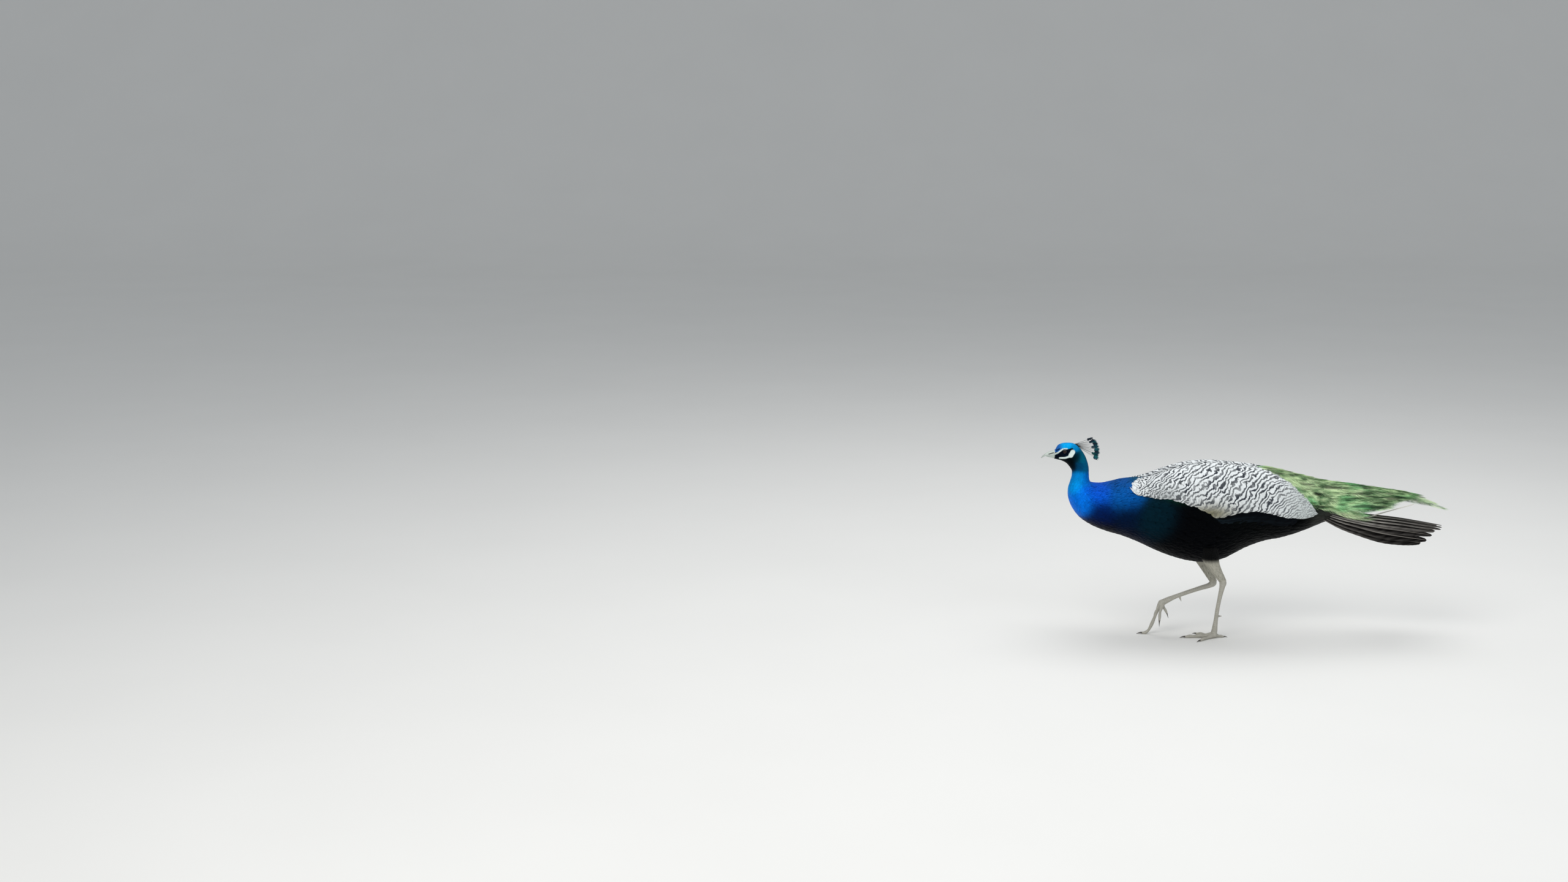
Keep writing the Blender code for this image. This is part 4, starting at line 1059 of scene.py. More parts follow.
def make_skin(finish):
    """One skin over head, neck, trunk and thighs, under the coat by its depth."""
    distance = np.concatenate([np.linspace(0.0, along("upper_neck"), 90)[:-1],
                               np.linspace(along("upper_neck"), BODY_LENGTH, 90)])[:, None]
    distance, angle = np.broadcast_arrays(distance, circle(96)[None, :])
    surface = body_points(distance, angle)
    under = head_relief(surface) - coat_at(distance)[1] - SKIN_UNDER
    body = closed_tube(surface + BODY_SURFACE.normals(distance, angle) * under[..., None])
    thighs = []
    for side in (LEFT, RIGHT):
        limb, length = limb_surface(THIGH[side], side, (HIP_OFFSET, HOCK_OFFSET))
        u, v = limb_grid(length, 30, 24)
        thighs.append(closed_tube(limb.points(u, v) - limb.normals(u, v) * DOWN_DEPTH))
    points, triangles = united(body, thighs)
    shells = Shells()
    on_thigh = ease(0.216 - points[:, 2], 0.0, 0.012)[:, None] * (points[:, 0:1] > -0.2)
    colour = mixed(plumage(points), linear((150, 146, 132)), on_thigh)
    shells.add(points, [triangles], (0.7, 0.0, 0.5), np.hstack([colour, np.zeros((len(points), 1))]))
    shells.piece("skin", finish,
                 ("head", "neck", "breast", "trunk", "rump", "train_root", "thigh_left", "thigh_right"))


def staggered_roots(points_of, first, last, across, spacing, offset=0.0):
    """Roots (u, v) of rows of feathers, from the first row's u to the last's.

    Spacing gives the step to the next row and the gap between roots at u. The roots lie evenly
    along the row's line of points, whose places across are given: by an offset from its start, and
    half a gap further in odd rows.
    """
    u, v = [], []
    here, row = first, 0
    while here < last:
        step, gap = spacing(here)
        line = path_length(points_of(np.full(len(across), here), across))
        count = max(int(line[-1] / gap), 3)
        shares = (np.arange(count) + 0.5 * (row % 2) + offset) / count
        u.append(np.full(count, here))
        v.append(np.interp(shares * line[-1], line, across))
        here += step
        row += 1
    return np.concatenate(u), np.concatenate(v)


def coat_roots(first, last):
    """Roots of the coat's feathers between two sections, spaced by the feathers' length."""
    u, v = staggered_roots(body_points, first, last, np.linspace(-math.pi, math.pi, 181),
                           lambda here: [coat_at(here)[0] * share for share in COAT_SPACING])
    length = coat_at(u)[0]
    u = u + RANDOM.normal(0, 0.07, len(u)) * length
    v = v + RANDOM.normal(0, 0.06, len(v)) * length / 0.06
    return np.clip(u, 0.0004, None), v


def is_open(v, points):
    """Whether the coat shows at roots: not on the bare face, by the eye, or under wing and train."""
    x, z = points[:, 0], points[:, 2]
    degrees = np.abs(np.degrees((v + math.pi) % (2 * math.pi) - math.pi))
    upper, lower = wing_edges(x)
    shown = np.interp(x, FLIGHT_OUTLINE[:, 0], FLIGHT_OUTLINE[:, 1], left=0, right=0)
    closed = (x > -0.262) & (x < 0.030)
    under_wing = (x > -0.290) & (x < 0.170) & ((degrees > upper + 6) | closed) & (degrees < lower + shown - 7)
    under_train = (x > 0.025) & (degrees < np.where(x < 0.174, upper + 8, 104))
    near_eye = np.hypot(x - EYE_CENTRE[0], z - EYE_CENTRE[2]) < 0.0062
    return ~(under_wing | under_train | near_eye | (bare_face(points) > 0.3))


def lay_coat(name, leaf, first, last, finish, sides=(LEFT, RIGHT)):
    """Contour feathers between two sections, on both sides or one. They droop on the flanks."""
    u, v = coat_roots(first, last)
    points = body_points(u, v)
    middles = body_points(u + 0.6 * coat_at(u)[0], v)
    on_sides = np.isin(np.where(v < 0, LEFT, RIGHT), sides)
    keep = is_open(v, points) & on_sides & (bare_face(middles) < 0.6)
    u, v = u[keep], v[keep]
    length, depth = coat_at(u)
    by_u, _ = BODY_SURFACE.slopes(u, v)
    stretch = np.clip(np.linalg.norm(by_u, axis=1), 0.75, 1.6)
    length = length * stretch * RANDOM.uniform(0.88, 1.14, len(u))
    droop = 0.22 * np.sin(v) * ease(u, along("breast"), along("flank"))
    turn = droop + RANDOM.normal(0, 0.08, len(u))
    tip = depth * RANDOM.uniform(0.0, 0.25, len(u))
    shells = Shells()
    lay_leaves(shells, BODY_SURFACE, leaf, u, v, length, length * FEATHER_WIDTH, turn, (-depth, tip), 0.11,
               plumage, body_map, thickness=length[:, None] * 0.010)
    shells.piece(name, finish)


def make_coat(glossy):
    """The contour feathers of head, neck, breast, mantle, flanks, belly and rump, smallest on the face."""
    tiny, small, medium = Leaf(4, 3, roundness=0.45), Leaf(5, 3, roundness=0.5), Leaf(5, 5)
    neck, neck_base, wrist = along("upper_neck"), along("neck_base"), along("wrist")
    lay_coat("head_feathers", tiny, 0.0008, neck, glossy)
    make_bill_feathers(tiny, glossy)
    lay_coat("neck_feathers", small, neck, neck_base, glossy)
    lay_coat("breast_feathers", medium, neck_base, wrist, glossy)
    for side_name, side in SIDES:
        lay_coat(side_name + "_flank_feathers", medium, wrist, BODY_LENGTH, glossy, [side])


def bill_cover_points(distance, angle):
    """Points on the head, and before its first section on that section drawn forward and in."""
    base = body_points(np.maximum(distance, 0.0), angle)
    beyond = np.minimum(np.broadcast_to(distance, base.shape[:-1]), 0.0)[..., None]
    centre = np.array([-0.4945, 0.0, 0.4875])
    return centre + (base - centre) * (1 + 14 * beyond) + beyond * np.array([1.0, 0.0, 0.10])


def make_bill_feathers(leaf, finish):
    """Tiny feathers that lie forward over the bill's base, longest between nostril and forehead."""
    rows = 5
    angle = np.concatenate([np.radians(np.linspace(-165, 165, 66) + 2.5 * (row % 2)) for row in range(rows)])
    distance = np.repeat(0.0026 - 0.0006 * np.arange(rows), 66)
    angle = angle + RANDOM.normal(0, 0.02, len(angle))
    length = RANDOM.uniform(0.0022, 0.0036, len(angle)) * (0.80 + 0.40 * np.exp(-(angle / 0.9) ** 2))
    shells = Shells()
    lay_leaves(shells, Surface(bill_cover_points), leaf, distance, angle, length, length * 0.17,
               math.pi + RANDOM.normal(0, 0.16, len(angle)), (0.0, 0.0003), 0.10, plumage, body_map,
               thickness=0.00005)
    shells.piece("bill_base_feathers", finish)


def make_thigh_down(finish):
    """Short grey-buff down on both thighs, from the belly to the hock."""
    shells = Shells()
    leaf = Leaf(4, 3, roundness=0.8)

    def buff(points):
        return mixed(linear((178, 175, 162)), linear((2, 5, 7)), ease(points[:, 2:3], 0.206, 0.222))

    for side in (LEFT, RIGHT):
        limb, length = limb_surface(THIGH[side], side, (HIP_OFFSET, HOCK_OFFSET))
        u, v = staggered_roots(limb.points, 0.004, length + 0.0005, np.linspace(0, 2 * math.pi, 61),
                               lambda here: DOWN_SPACING)
        u = u + RANDOM.normal(0, 0.0008, len(u))
        outside = limb.points(u, v)[:, 2] < 0.258
        u, v = u[outside], v[outside]
        size = RANDOM.uniform(0.008, 0.012, len(u)) * (1.15 - 0.40 * u / length)
        depth = 0.0016 - 0.0006 * u / length

        def limb_map(u, v):
            around = 0.03 + 0.45 * v / (2 * math.pi) + 0.25 * (side + 1)
            return np.stack([around, 0.05 + 0.9 * u / length], axis=-1)

        lay_leaves(shells, limb, leaf, u, v, size, size * 0.15, RANDOM.normal(0, 0.13, len(u)),
                   (-depth, depth * 0.3), 0.12, buff, limb_map)
    shells.piece("thigh_down", finish)


# Wings

WING_FEATHERS = np.array([
    # x      length  spacing across  period of the bars
    (-0.300, 0.013, 0.0075, 0.0080), (-0.220, 0.020, 0.0110, 0.0098), (-0.100, 0.028, 0.0150, 0.0116),
    (0.000, 0.029, 0.0150, 0.0116), (0.080, 0.025, 0.0108, 0.0096), (0.174, 0.020, 0.0072, 0.0074),
])


def wing_colour(points):
    """Pale ground of the wing: cool white, buff on the lower lobe, greyer at the lower front by painted
    shade, and grey-white at the rear.
    """
    x, z = points[..., 0], points[..., 2]
    buff = np.exp(-((x + 0.105) / 0.070) ** 2 - ((z - 0.350) / 0.026) ** 2)[..., None]
    # painted shade: greyer at the wing's lower front
    front = 0.60 * np.exp(-((x + 0.222) / 0.042) ** 2 - ((z - 0.397) / 0.020) ** 2)[..., None]
    rear = ease(x, 0.06, 0.16)[..., None] * 0.72
    ground = mixed(linear((230, 234, 235)), linear((126, 122, 96)), buff)
    ground = mixed(ground, linear((150, 156, 155)), front)
    return mixed(ground, linear((192, 200, 198)), rear)


def add_plate(shells, surface, u, v, low, high, colour_of, map_of, phase=None):
    """A closed plate over a grid of a surface, between two heights, tapered to nothing at its rim."""
    u, v = np.meshgrid(u, v, indexing="ij")
    rows, columns = u.shape
    inside = np.zeros((rows, columns))
    inside[1:-1, 1:-1] = 1.0
    base, normal = surface.points(u, v), surface.normals(u, v)
    top = base + normal * (low + (high - low) * inside)[..., None]
    bottom = base + normal * (low - 0.0004)
    points = np.concatenate([top.reshape(-1, 3), bottom.reshape(-1, 3)])
    faces = grid_faces(rows, columns, False)
    under = rows * columns
    edge = np.concatenate([np.arange(columns), np.arange(1, rows) * columns + columns - 1,
                           (rows - 1) * columns + np.arange(columns - 2, -1, -1),
                           np.arange(rows - 2, 0, -1) * columns])
    after = np.roll(edge, -1)
    wall = np.stack([edge, after, after + under, edge + under], axis=1)
    flat_u, flat_v = np.tile(u.ravel(), 2), np.tile(v.ravel(), 2)
    phases = np.zeros(len(points)) if phase is None else phase(flat_u, flat_v)
    shells.add(points, [faces, faces[:, ::-1] + under, wall[:, ::-1]], (0.8, 0.3, 0.5),
               np.hstack([colour_of(points), phases[:, None]]), map_of(flat_u, flat_v))


def bar_turn(x):
    """How far the way across the bars points down from the wing's length, in radians."""
    return np.interp(x, (-0.30, -0.20, -0.10, 0.00, 0.10, 0.174), (0.95, 0.85, 0.70, 0.60, 0.52, 0.42))


def wing_turn(x, across):
    """How far the wing's feathers point down from its length, in radians: most at the front."""
    front = np.interp(x, (-0.30, -0.20, -0.10, 0.00, 0.10), (0.80, 0.66, 0.42, 0.16, 0.02))
    return front * (1 - 0.8 * ease(across, 0.70, 1.0))


def feather_sizes(x):
    """Length and spacing of the wing's feathers at x, and the period of their bars."""
    return [np.interp(x, WING_FEATHERS[:, 0], WING_FEATHERS[:, column]) for column in (1, 2, 3)]


def down_wing(x, share):
    """Distance of a place on the wing from the back line, round the body."""
    return np.radians(wing_edges(x)[1] * share) * WING_RADIUS


def bar_phase(x, share):
    """Phase of the bars at a place: the bars passed along the wing and down it, to there."""
    fine = np.linspace(-0.31, 0.18, 200)
    passed = np.cumsum((fine[1] - fine[0]) * np.cos(bar_turn(fine)) / feather_sizes(fine)[2])
    return np.interp(x, fine, passed) + down_wing(x, share) * np.sin(bar_turn(x)) / feather_sizes(x)[2]


def wing_map(x, across):
    """Place on the wing's own unwrap: along it and across it."""
    return np.stack([0.04 + 0.90 * (x + 0.302) / 0.476, 0.06 + 0.86 * across], axis=-1)


def lay_barred(shells, leaf, u, v, turn, width_share, lift):
    """Barred feathers at roots (u, v). The phase of their bars grows along one way over the whole
    wing, whichever way a feather is turned.
    """
    length, spacing, period = feather_sizes(u)
    length = (length + 0.007 * ease(u, 0.135, 0.168)) * RANDOM.uniform(0.92, 1.10, len(u))
    length = np.minimum(length, 0.199 - u)
    half_width = spacing * width_share
    phase = bar_phase(u, v) + RANDOM.normal(0, 0.04, len(u))
    slant = bar_turn(u) - turn - np.arctan((down_wing(u + 0.002, v) - down_wing(u - 0.002, v)) / 0.004)

    def bars(s, t):
        ahead = length[:, None] * s * np.cos(slant)[:, None]
        aside = half_width[:, None] * t * leaf.outline * np.sin(slant)[:, None]
        return phase[:, None] + (ahead + aside) / period[:, None]

    lay_leaves(shells, WING_SURFACE, leaf, u, v, length, half_width, turn,
               (lift * 0.6 - 0.0018, lift + 0.0002), 0.05, wing_colour, wing_map, patch=0.016,
               thickness=0.0002, bars=bars)


def make_wings(finish, dark_finish):
    """Barred feathers over each wing in overlapping rows, on a barred pad, and the flight vanes.

    A row down the back line lies over the seam between the wings.
    """
    leaf = Leaf(8, 7, fullness=0.85, roundness=0.50)
    u, v = staggered_roots(wing_points, -0.298, 0.168, np.linspace(0, 1, 61),
                           lambda x: (feather_sizes(x)[0] * WING_ROW_STEP, feather_sizes(x)[1]), 0.25)
    u = u + RANDOM.normal(0, 0.0010, len(u))
    v = np.clip(v + RANDOM.normal(0, 0.008, len(v)), 0.01, 0.985)
    edge = ease(v, 0.80, 1.0)
    turn = wing_turn(u, v) + RANDOM.normal(0, 0.06, len(u))
    ridge = np.arange(-0.272, 0.036, 0.0080)
    for side_name, mirrored in (("right", False), ("left", True)):
        shells = Shells()
        add_plate(shells, WING_SURFACE, np.linspace(-0.300, 0.172, 60), np.linspace(0.0, 1.0, 24),
                  -0.006, -0.0022, wing_colour, wing_map, bar_phase)
        lay_barred(shells, leaf, u, v, turn, 0.86 - 0.34 * edge,
                   0.0028 * edge + 0.0024 * ease(u, 0.130, 0.165))
        if not mirrored:
            lay_barred(shells, leaf, ridge, np.full(len(ridge), -0.012),
                       RANDOM.normal(0, 0.10, len(ridge)), 0.60, np.full(len(ridge), 0.0012))
        shells.piece(side_name + "_wing_feathers", finish, ("wing_" + side_name,), mirrored)
        make_flight(side_name, dark_finish, mirrored)


def flight_points(x, across):
    """Points on the right flight feathers, from under the wing's edge to their own lower edge."""
    x, across = np.broadcast_arrays(x, across)
    _, lower = wing_edges(x)
    shown = np.interp(x, FLIGHT_OUTLINE[:, 0], FLIGHT_OUTLINE[:, 1])
    angle = np.radians(lower - 2 + (shown + 2) * across)
    distance = along_x(x)
    swell = 0.0004 + 0.6 * FLIGHT_THICKNESS * hill(across) ** 0.7
    return body_points(distance, angle) + BODY_SURFACE.normals(distance, angle) * swell[..., None]


def strip_map(first, last, count, start, pitch):
    """Map of long vanes: a strip for each of count, by its root's place from the first to the last."""
    def place(u, v):
        order = np.round((v - first) / (last - first) * (count - 1))
        return np.stack([np.full(len(u), 0.5), start + pitch * order], axis=-1)

    return place


def make_flight(side_name, finish, mirrored):
    """Long dark vanes that show below the wing, each over the next lower one."""
    surface = Surface(flight_points)
    leaf = Leaf(24, 7, fullness=0.80, roundness=0.28)
    count = FLIGHT_FEATHERS
    across = np.linspace(*FLIGHT_SPREAD[::-1], count)
    start = np.interp(across, (0, 1), (-0.150, -0.165))
    end = np.interp(across, (0.0, 0.5, 1.0), (0.156, 0.152, 0.120)) + RANDOM.uniform(-0.007, 0.005, count)
    height = np.linspace(-0.0034, -0.0006, count)
    blue_black = even((17, 26, 32))
    shells = Shells()
    add_plate(shells, surface, np.linspace(-0.160, 0.130, 40), np.linspace(0.02, 0.94, 8), -0.0046, -0.0036,
              blue_black, lambda u, v: np.stack([u + 0.27, np.full(len(u), 0.005)], axis=-1))
    lay_leaves(shells, surface, leaf, start, across, end - start, np.full(count, 0.0060),
               RANDOM.normal(0, 0.006, count), (height - 0.0040, height), 0.06, blue_black,
               strip_map(*FLIGHT_SPREAD, count, 0.06, 0.105), patch=0.09, thickness=0.0003,
               bars=lambda s, t: 1.0)
    shells.piece(side_name + "_flight_feathers", finish, ("flight_" + side_name,), mirrored)


# Train, tail and crest

class Plume:
    """Template of a loose plume's barbs, on both sides of its shaft from where the bare part ends.

    A barb starts on the shaft and reaches along by a share of the plume's length, and across by
    the outline: sin(pi place ** fullness) ** roundness. It is a thin wedge with three sides.
    """

    BARB_POINTS = 7

    def __init__(self, barbs, bare=0.08, reach=0.16, fullness=0.9, roundness=0.5, width=0.011):
        place = np.repeat(np.linspace(bare, 0.985, barbs), 2)
        side = np.tile([-1.0, 1.0], barbs)
        count = len(place)
        outline = np.sin(math.pi * np.clip(place, 0.02, 0.97) ** fullness) ** roundness
        progress = np.array([0, 0, 0, 0.55, 0.55, 0.55, 1.0])
        lean = np.array([-0.5, 0.5, 0.0, -0.9, 0.9, 0.0, 0.0]) * width
        face = np.array([0.5, 0.5, -0.5, 1.0, 1.0, -0.2, 0.4])
        reach = reach * (1 - 0.55 * place)
        self.along = place[:, None] + reach[:, None] * progress ** 1.15 + lean
        self.across = side[:, None] * outline[:, None] * progress ** 0.85
        self.face = np.tile(face, count)
        self.barb = np.repeat(np.arange(count), self.BARB_POINTS)
        self.end = np.tile(progress, count)
        starts = (np.arange(count) * self.BARB_POINTS)[:, None, None]
        quads = np.array([[0, 1, 4, 3], [1, 2, 5, 4], [2, 0, 3, 5]])
        triangles = np.array([[0, 2, 1], [3, 4, 6], [4, 5, 6], [5, 3, 6]])
        quads, triangles = quads + starts, triangles + starts
        turned = side < 0
        quads[turned] = quads[turned][..., ::-1]
        triangles[turned] = triangles[turned][..., ::-1]
        self.faces = [quads.reshape(-1, 4), triangles.reshape(-1, 3)]
        self.along, self.across = self.along.ravel(), self.across.ravel()
        self.barbs = count


def lay_plumes(shells, surface, plume, shaft, u, v, length, half_width, turn, heights, colour_of, map_of,
               patch, thickness=0.0003, shaft_width=0.0006):
    """Lays one plume for each root: its barbs, each a little longer or shorter and more or less
    raised, and its shaft.
    """
    count, roots = len(u), map_of(u, v)
    low, high = (np.broadcast_to(value, u.shape)[:, None] for value in heights)
    vary = RANDOM.uniform(0.78, 1.12, (count, plume.barbs))[:, plume.barb]
    lifted = RANDOM.normal(0, 0.0006, (count, plume.barbs))[:, plume.barb] * plume.end
    bent = RANDOM.normal(0, 0.018, (count, plume.barbs))[:, plume.barb] * plume.end
    random = RANDOM.random(count)[:, None]
    tint = RANDOM.uniform(-0.14, 0.14, (count, plume.barbs))[:, plume.barb]
    s, t = plume.along[None] + bent, plume.across[None] * vary
    height = low + (high - low) * s + lifted + plume.face * thickness
    height = height - 0.10 * half_width[:, None] * t ** 2
    points = surface.lay(u, v, turn, length[:, None] * s, half_width[:, None] * t, height)
    add_vanes(shells, plume, points, (s, t, np.clip(random + tint, 0, 1)), colour_of, 0.0, roots,
              t * 0.5, patch)
    s, t = shaft.s[None], shaft.t[None]
    height = low + (high - low) * s + shaft.side * 0.0003
    points = surface.lay(u, v, turn, length[:, None] * s * 0.99, shaft_width * (1 - 0.6 * s) * t, height)
    add_vanes(shells, shaft, points, (s, 0.0, random), colour_of, 0.0, roots, t * 0.02, patch)


TRAIN_GREEN = even((120, 148, 110))


def train_map(x, across):
    """Place on the train's own unwrap."""
    return np.stack([0.05 + 0.86 * (x + 0.06) / 0.46, 0.5 + 0.40 * across], axis=-1)


def train_pad_points(x, across):
    """Points on the train's pad: wider than the train by 0.18 up to x = 0.240, and just as wide
    from x = 0.310 on.
    """
    return train_points(x, across * np.interp(x, (0.240, 0.310), (1.18, 1.0)))


def make_train(finish):
    """The train's plumes, short over the rump and long behind, on a pad, with a second layer under
    the long ones and a few loose ones beyond the end.
    """
    plume, shaft = Plume(36, reach=0.42, fullness=0.85, width=0.009), Leaf(7, 3)
    u, v = [], []
    x, row = 0.005, 0
    while x < 0.375:
        half = np.interp(x, (-0.05, 0.05, 0.2, 0.30, 0.40), (0.020, 0.036, 0.085, 0.085, 0.050))
        count = max(int(2 * half / TRAIN_GAP), 3)
        across = (np.arange(count) + 0.5 + 0.25 * (-1) ** row) / count * 2 - 1
        u.append(np.full(count, x) + RANDOM.uniform(-0.005, 0.005, count))
        v.append(across * np.interp(x, (0.0, 0.1, 0.14, 0.185, 0.2, 0.26, 0.4),
                                    (0.90, 1.05, 0.98, 1.00, 1.12, 1.00, 0.88)))
        x += TRAIN_ROW_STEP
        row += 1
    u, v = np.concatenate(u), np.concatenate(v)
    length = np.interp(u, (-0.05, 0.05, 0.15, 0.25, 0.40), (0.040, 0.062, 0.105, 0.125, 0.100))
    length = length * RANDOM.uniform(0.85, 1.15, len(u))
    end = TRAIN_END - 0.105 * np.abs(v) ** 1.6 + RANDOM.uniform(-0.014, 0.010, len(u))
    keep = end - u > 0.030
    u, v, length, end = u[keep], v[keep], length[keep], end[keep]
    length = np.minimum(length, end - u)
    half_width = np.clip(length * 0.115, 0.0070, 0.0115)
    turn = RANDOM.normal(0, 0.09, len(u)) * np.interp(u, (0.0, 0.2), (0.6, 1.0))
    for part, chosen in thirds(v, 0.34):
        shells = Shells()
        if part == "middle":
            add_plate(shells, Surface(train_pad_points), np.linspace(-0.02, 0.36, 40),
                      np.linspace(-0.90, 0.90, 20), -0.006, -0.0035, TRAIN_GREEN, train_map)
        inner = np.flatnonzero(chosen & (u > 0.19))[::2]
        for these, spread, heights in ((np.flatnonzero(chosen), 1.0, (-0.0035, 0.0022)),
                                       (inner, 0.92, (-0.0080, -0.0095))):
            lay_plumes(shells, TRAIN_SURFACE, plume, shaft, u[these], v[these] * spread, length[these],
                       half_width[these], turn[these], heights, TRAIN_GREEN, train_map, patch=0.02)
        if part == "middle":
            add_loose_plumes(shells)
        shells.piece(part + "_train_plumes", finish, ("train_" + part,))


def thirds(across, limit):
    """Names and members of left, middle and right, parted at a limit either way."""
    return ("left", across < -limit), ("middle", np.abs(across) <= limit), ("right", across > limit)


def make_quill(finish):
    """The bare quill that sticks out under the train, from a root inside the tail."""
    share = np.linspace(0, 1, 12)[:, None, None]
    around = circle(10)[None, :, None]
    start, tip = np.array([0.2690, -0.004, 0.3052]), np.array([0.430, -0.046, 0.3650])
    radius = 0.0019 * (1 - 0.45 * share) * np.minimum(1, 6 * (share + 0.05))
    ring = np.array([0, 1.0, 0]) * np.cos(around) + np.array([-0.38, 0, 0.92]) * np.sin(around)
    points, faces = closed_tube(start + (tip - start) * share + ring * radius)
    quill = Shells()
    # not a patch, so the bake has to find its own map
    one_point = np.full((len(points), 2), 0.5)  # not a patch: every point lies at one place on the map
    quill.add(points, faces, (0.5, 0.0, 0.5), (*linear((220, 218, 208)), 0.0), one_point)
    quill.piece("bare_quill", finish)


LOOSE_PLUMES = [
    # root x, y, z        tip x, y, z              half width, degrees turned up at the side
    ((0.365, -0.010, 0.3900), (0.516, -0.022, 0.3480), 0.0100, 52.0),
    ((0.375, 0.002, 0.3890), (0.500, 0.006, 0.3560), 0.0090, 44.0),
    ((0.345, 0.008, 0.3920), (0.470, 0.012, 0.3700), 0.0100, 40.0),
    ((0.350, -0.026, 0.3860), (0.474, -0.034, 0.3620), 0.0110, 55.0),
    ((0.340, 0.018, 0.3900), (0.452, 0.026, 0.3700), 0.0100, -30.0),
]


def add_loose_plumes(shells):
    """Single plumes beyond the train's end, each on a sloping plane that droops a little."""
    plume, shaft = Plume(72, reach=0.20, width=0.0055), Leaf(9, 3)
    for root, tip, half_width, slope in LOOSE_PLUMES:
        root, tip = np.array(root), np.array(tip)
        length = np.linalg.norm(tip - root)
        ahead = (tip - root) / length
        aside = np.array([0.0, math.cos(math.radians(slope)), -math.sin(math.radians(slope))])

        def plane(u, v):
            u, v = np.broadcast_arrays(u, v)
            droop = 0.06 * length * (u / length) * (1 - u / length)
            flat = root + ahead * u[..., None] + aside * v[..., None]
            return flat + np.array([0, 0, 1.0]) * droop[..., None]

        lay_plumes(shells, Surface(plane), plume, shaft, np.array([0.0]), np.array([0.0]), np.array([length]),
                   np.array([half_width]), np.array([0.0]), (0.0, 0.0), TRAIN_GREEN,
                   lambda u, v: np.array([[0.5, 0.96]]), patch=0.05)


BROWN_BLACK = even((52, 46, 44))


def make_tail(finish):
    """Long tail vanes with pale shafts, the middle ones on top, each over the next."""
    leaf = Leaf(40, 9, fullness=0.80, roundness=0.34, fringe=0.03)
    count = TAIL_FEATHERS
    across = np.linspace(-TAIL_SPREAD, TAIL_SPREAD, count)
    across = across[np.argsort(np.abs(across))[::-1]]
    start = np.full(count, 0.165)
    end = TAIL_END - 0.062 * np.abs(across) ** 1.6 - np.abs(RANDOM.normal(0, 0.005, count))
    height = 0.0030 - 0.0095 * np.abs(across)
    fan = 0.012 * across / TAIL_SPREAD
    for part, chosen in thirds(across, 0.33):
        n = int(chosen.sum())
        paleness = 1.60 - 1.48 * ease(np.abs(across[chosen]), 0.16, 0.66)[:, None]
        shells = Shells()
        lay_leaves(shells, TAIL_SURFACE, leaf, start[chosen], across[chosen], (end - start)[chosen],
                   np.full(n, 0.0052), fan[chosen] + RANDOM.normal(0, 0.0028, n),
                   (height[chosen] - 0.001, height[chosen]), 0.10, BROWN_BLACK,
                   strip_map(-TAIL_SPREAD, TAIL_SPREAD, count, 0.030, 0.062), patch=0.055,
                   thickness=0.0004, bars=lambda s, t: paleness)
        shells.piece(part + "_tail_feathers", finish, ("tail_" + part,))


def make_crest(finish):
    """The crest: bare shafts in a fan, each with a tuft at its end, a few of them shorter."""
    plume = Plume(26, bare=0.82, reach=0.15, fullness=3.6, roundness=0.6, width=0.010)
    shaft = Leaf(6, 3, roundness=0.2)
    count = CREST_PLUMES
    share = np.linspace(0, 1, count)
    turn = np.radians(17 - 49 * share + RANDOM.normal(0, 1.0, count))
    length = 0.043 + 0.023 * np.cbrt(share) + RANDOM.normal(0, 0.0006, count)
    length[4::9] *= 0.84
    tilt = RANDOM.uniform(-0.13, 0.13, count)

    def middle_plane(u, v):
        u, v = np.broadcast_arrays(u, v)
        return np.stack([u, np.zeros_like(u), v], axis=-1)

    root = CREST_ROOT + np.stack([-0.0025 + 0.006 * (share - 0.5), -0.0030 - 0.004 * share], axis=1)
    shells = Shells()
    lay_plumes(shells, Surface(middle_plane), plume, shaft, root[:, 0], root[:, 1], length,
               np.full(count, 0.0040), turn, (0.0, tilt * length), BROWN_BLACK,
               lambda u, v: np.stack([0.1 + 0.8 * share, np.full(count, 0.5)], axis=-1), patch=0.03,
               thickness=0.00025, shaft_width=0.00032)
    shells.piece("crest_plumes", finish, ("crest",))


# Bill and eyes

def make_bill(finish):
    """Both halves of the bill: domes over a nearly flat cutting edge, with slanting nostrils."""
    around = circle(96)[None, :]
    for name, table, is_upper, node in (("bill_upper_horn", UPPER_BILL, True, "bill_upper"),
                                        ("bill_lower_horn", LOWER_BILL, False, "bill_lower")):
        x = np.linspace(table[0, 0], table[-1, 0], 160)
        rows = smooth_through(-table[:, 0], table, -x)
        top, bottom, width = (rows[:, i:i + 1] for i in (1, 2, 3))
        rise = np.where(np.sin(around) > 0, np.abs(np.sin(around)) ** 0.92, 0.05 * np.sin(around))
        y = signed_power(np.cos(around), 0.85) * width
        z = bottom + (top - bottom) * rise if is_upper else top - (top - bottom) * rise
        x = np.broadcast_to(x[:, None], z.shape)
        nostril, flap = (drawn(x, z, marks) * is_upper for marks in (NOSTRIL, NOSTRIL_FLAP))
        y = y * (1 - 0.34 * nostril + 0.07 * flap)
        points, faces = closed_tube(np.stack([x, y, z], axis=-1))
        # painted shade: the nostril is painted dark for the shade in its opening; the horn also darkens
        # towards the tip
        shade = np.append(nostril.ravel(), [0.0, 0.0])
        tipward = ease(-points[:, 0], 0.516, 0.532) * 0.25
        place = np.stack([points[:, 0], np.clip(shade + tipward, 0, 1), 0 * shade], axis=1)
        shells = Shells()
        shells.add(points, facing_out(points, faces), place, (*linear((200, 204, 194)), 0.0))
        shells.piece(name, finish, (node,))


def eye_frame(side):
    """Centre of an eye, and the directions forward, up and outward of its opening."""
    centre = EYE_CENTRE * (1, side, 1)
    outward = unit(np.array([-0.16, side * 1.0, 0.05]))
    forward = unit(np.cross(outward, [0.0, 0.0, 1.0])) * side
    upward = np.cross(forward, outward) * side
    return centre, forward * np.sign(-forward[0]), upward * np.sign(upward[2]), outward


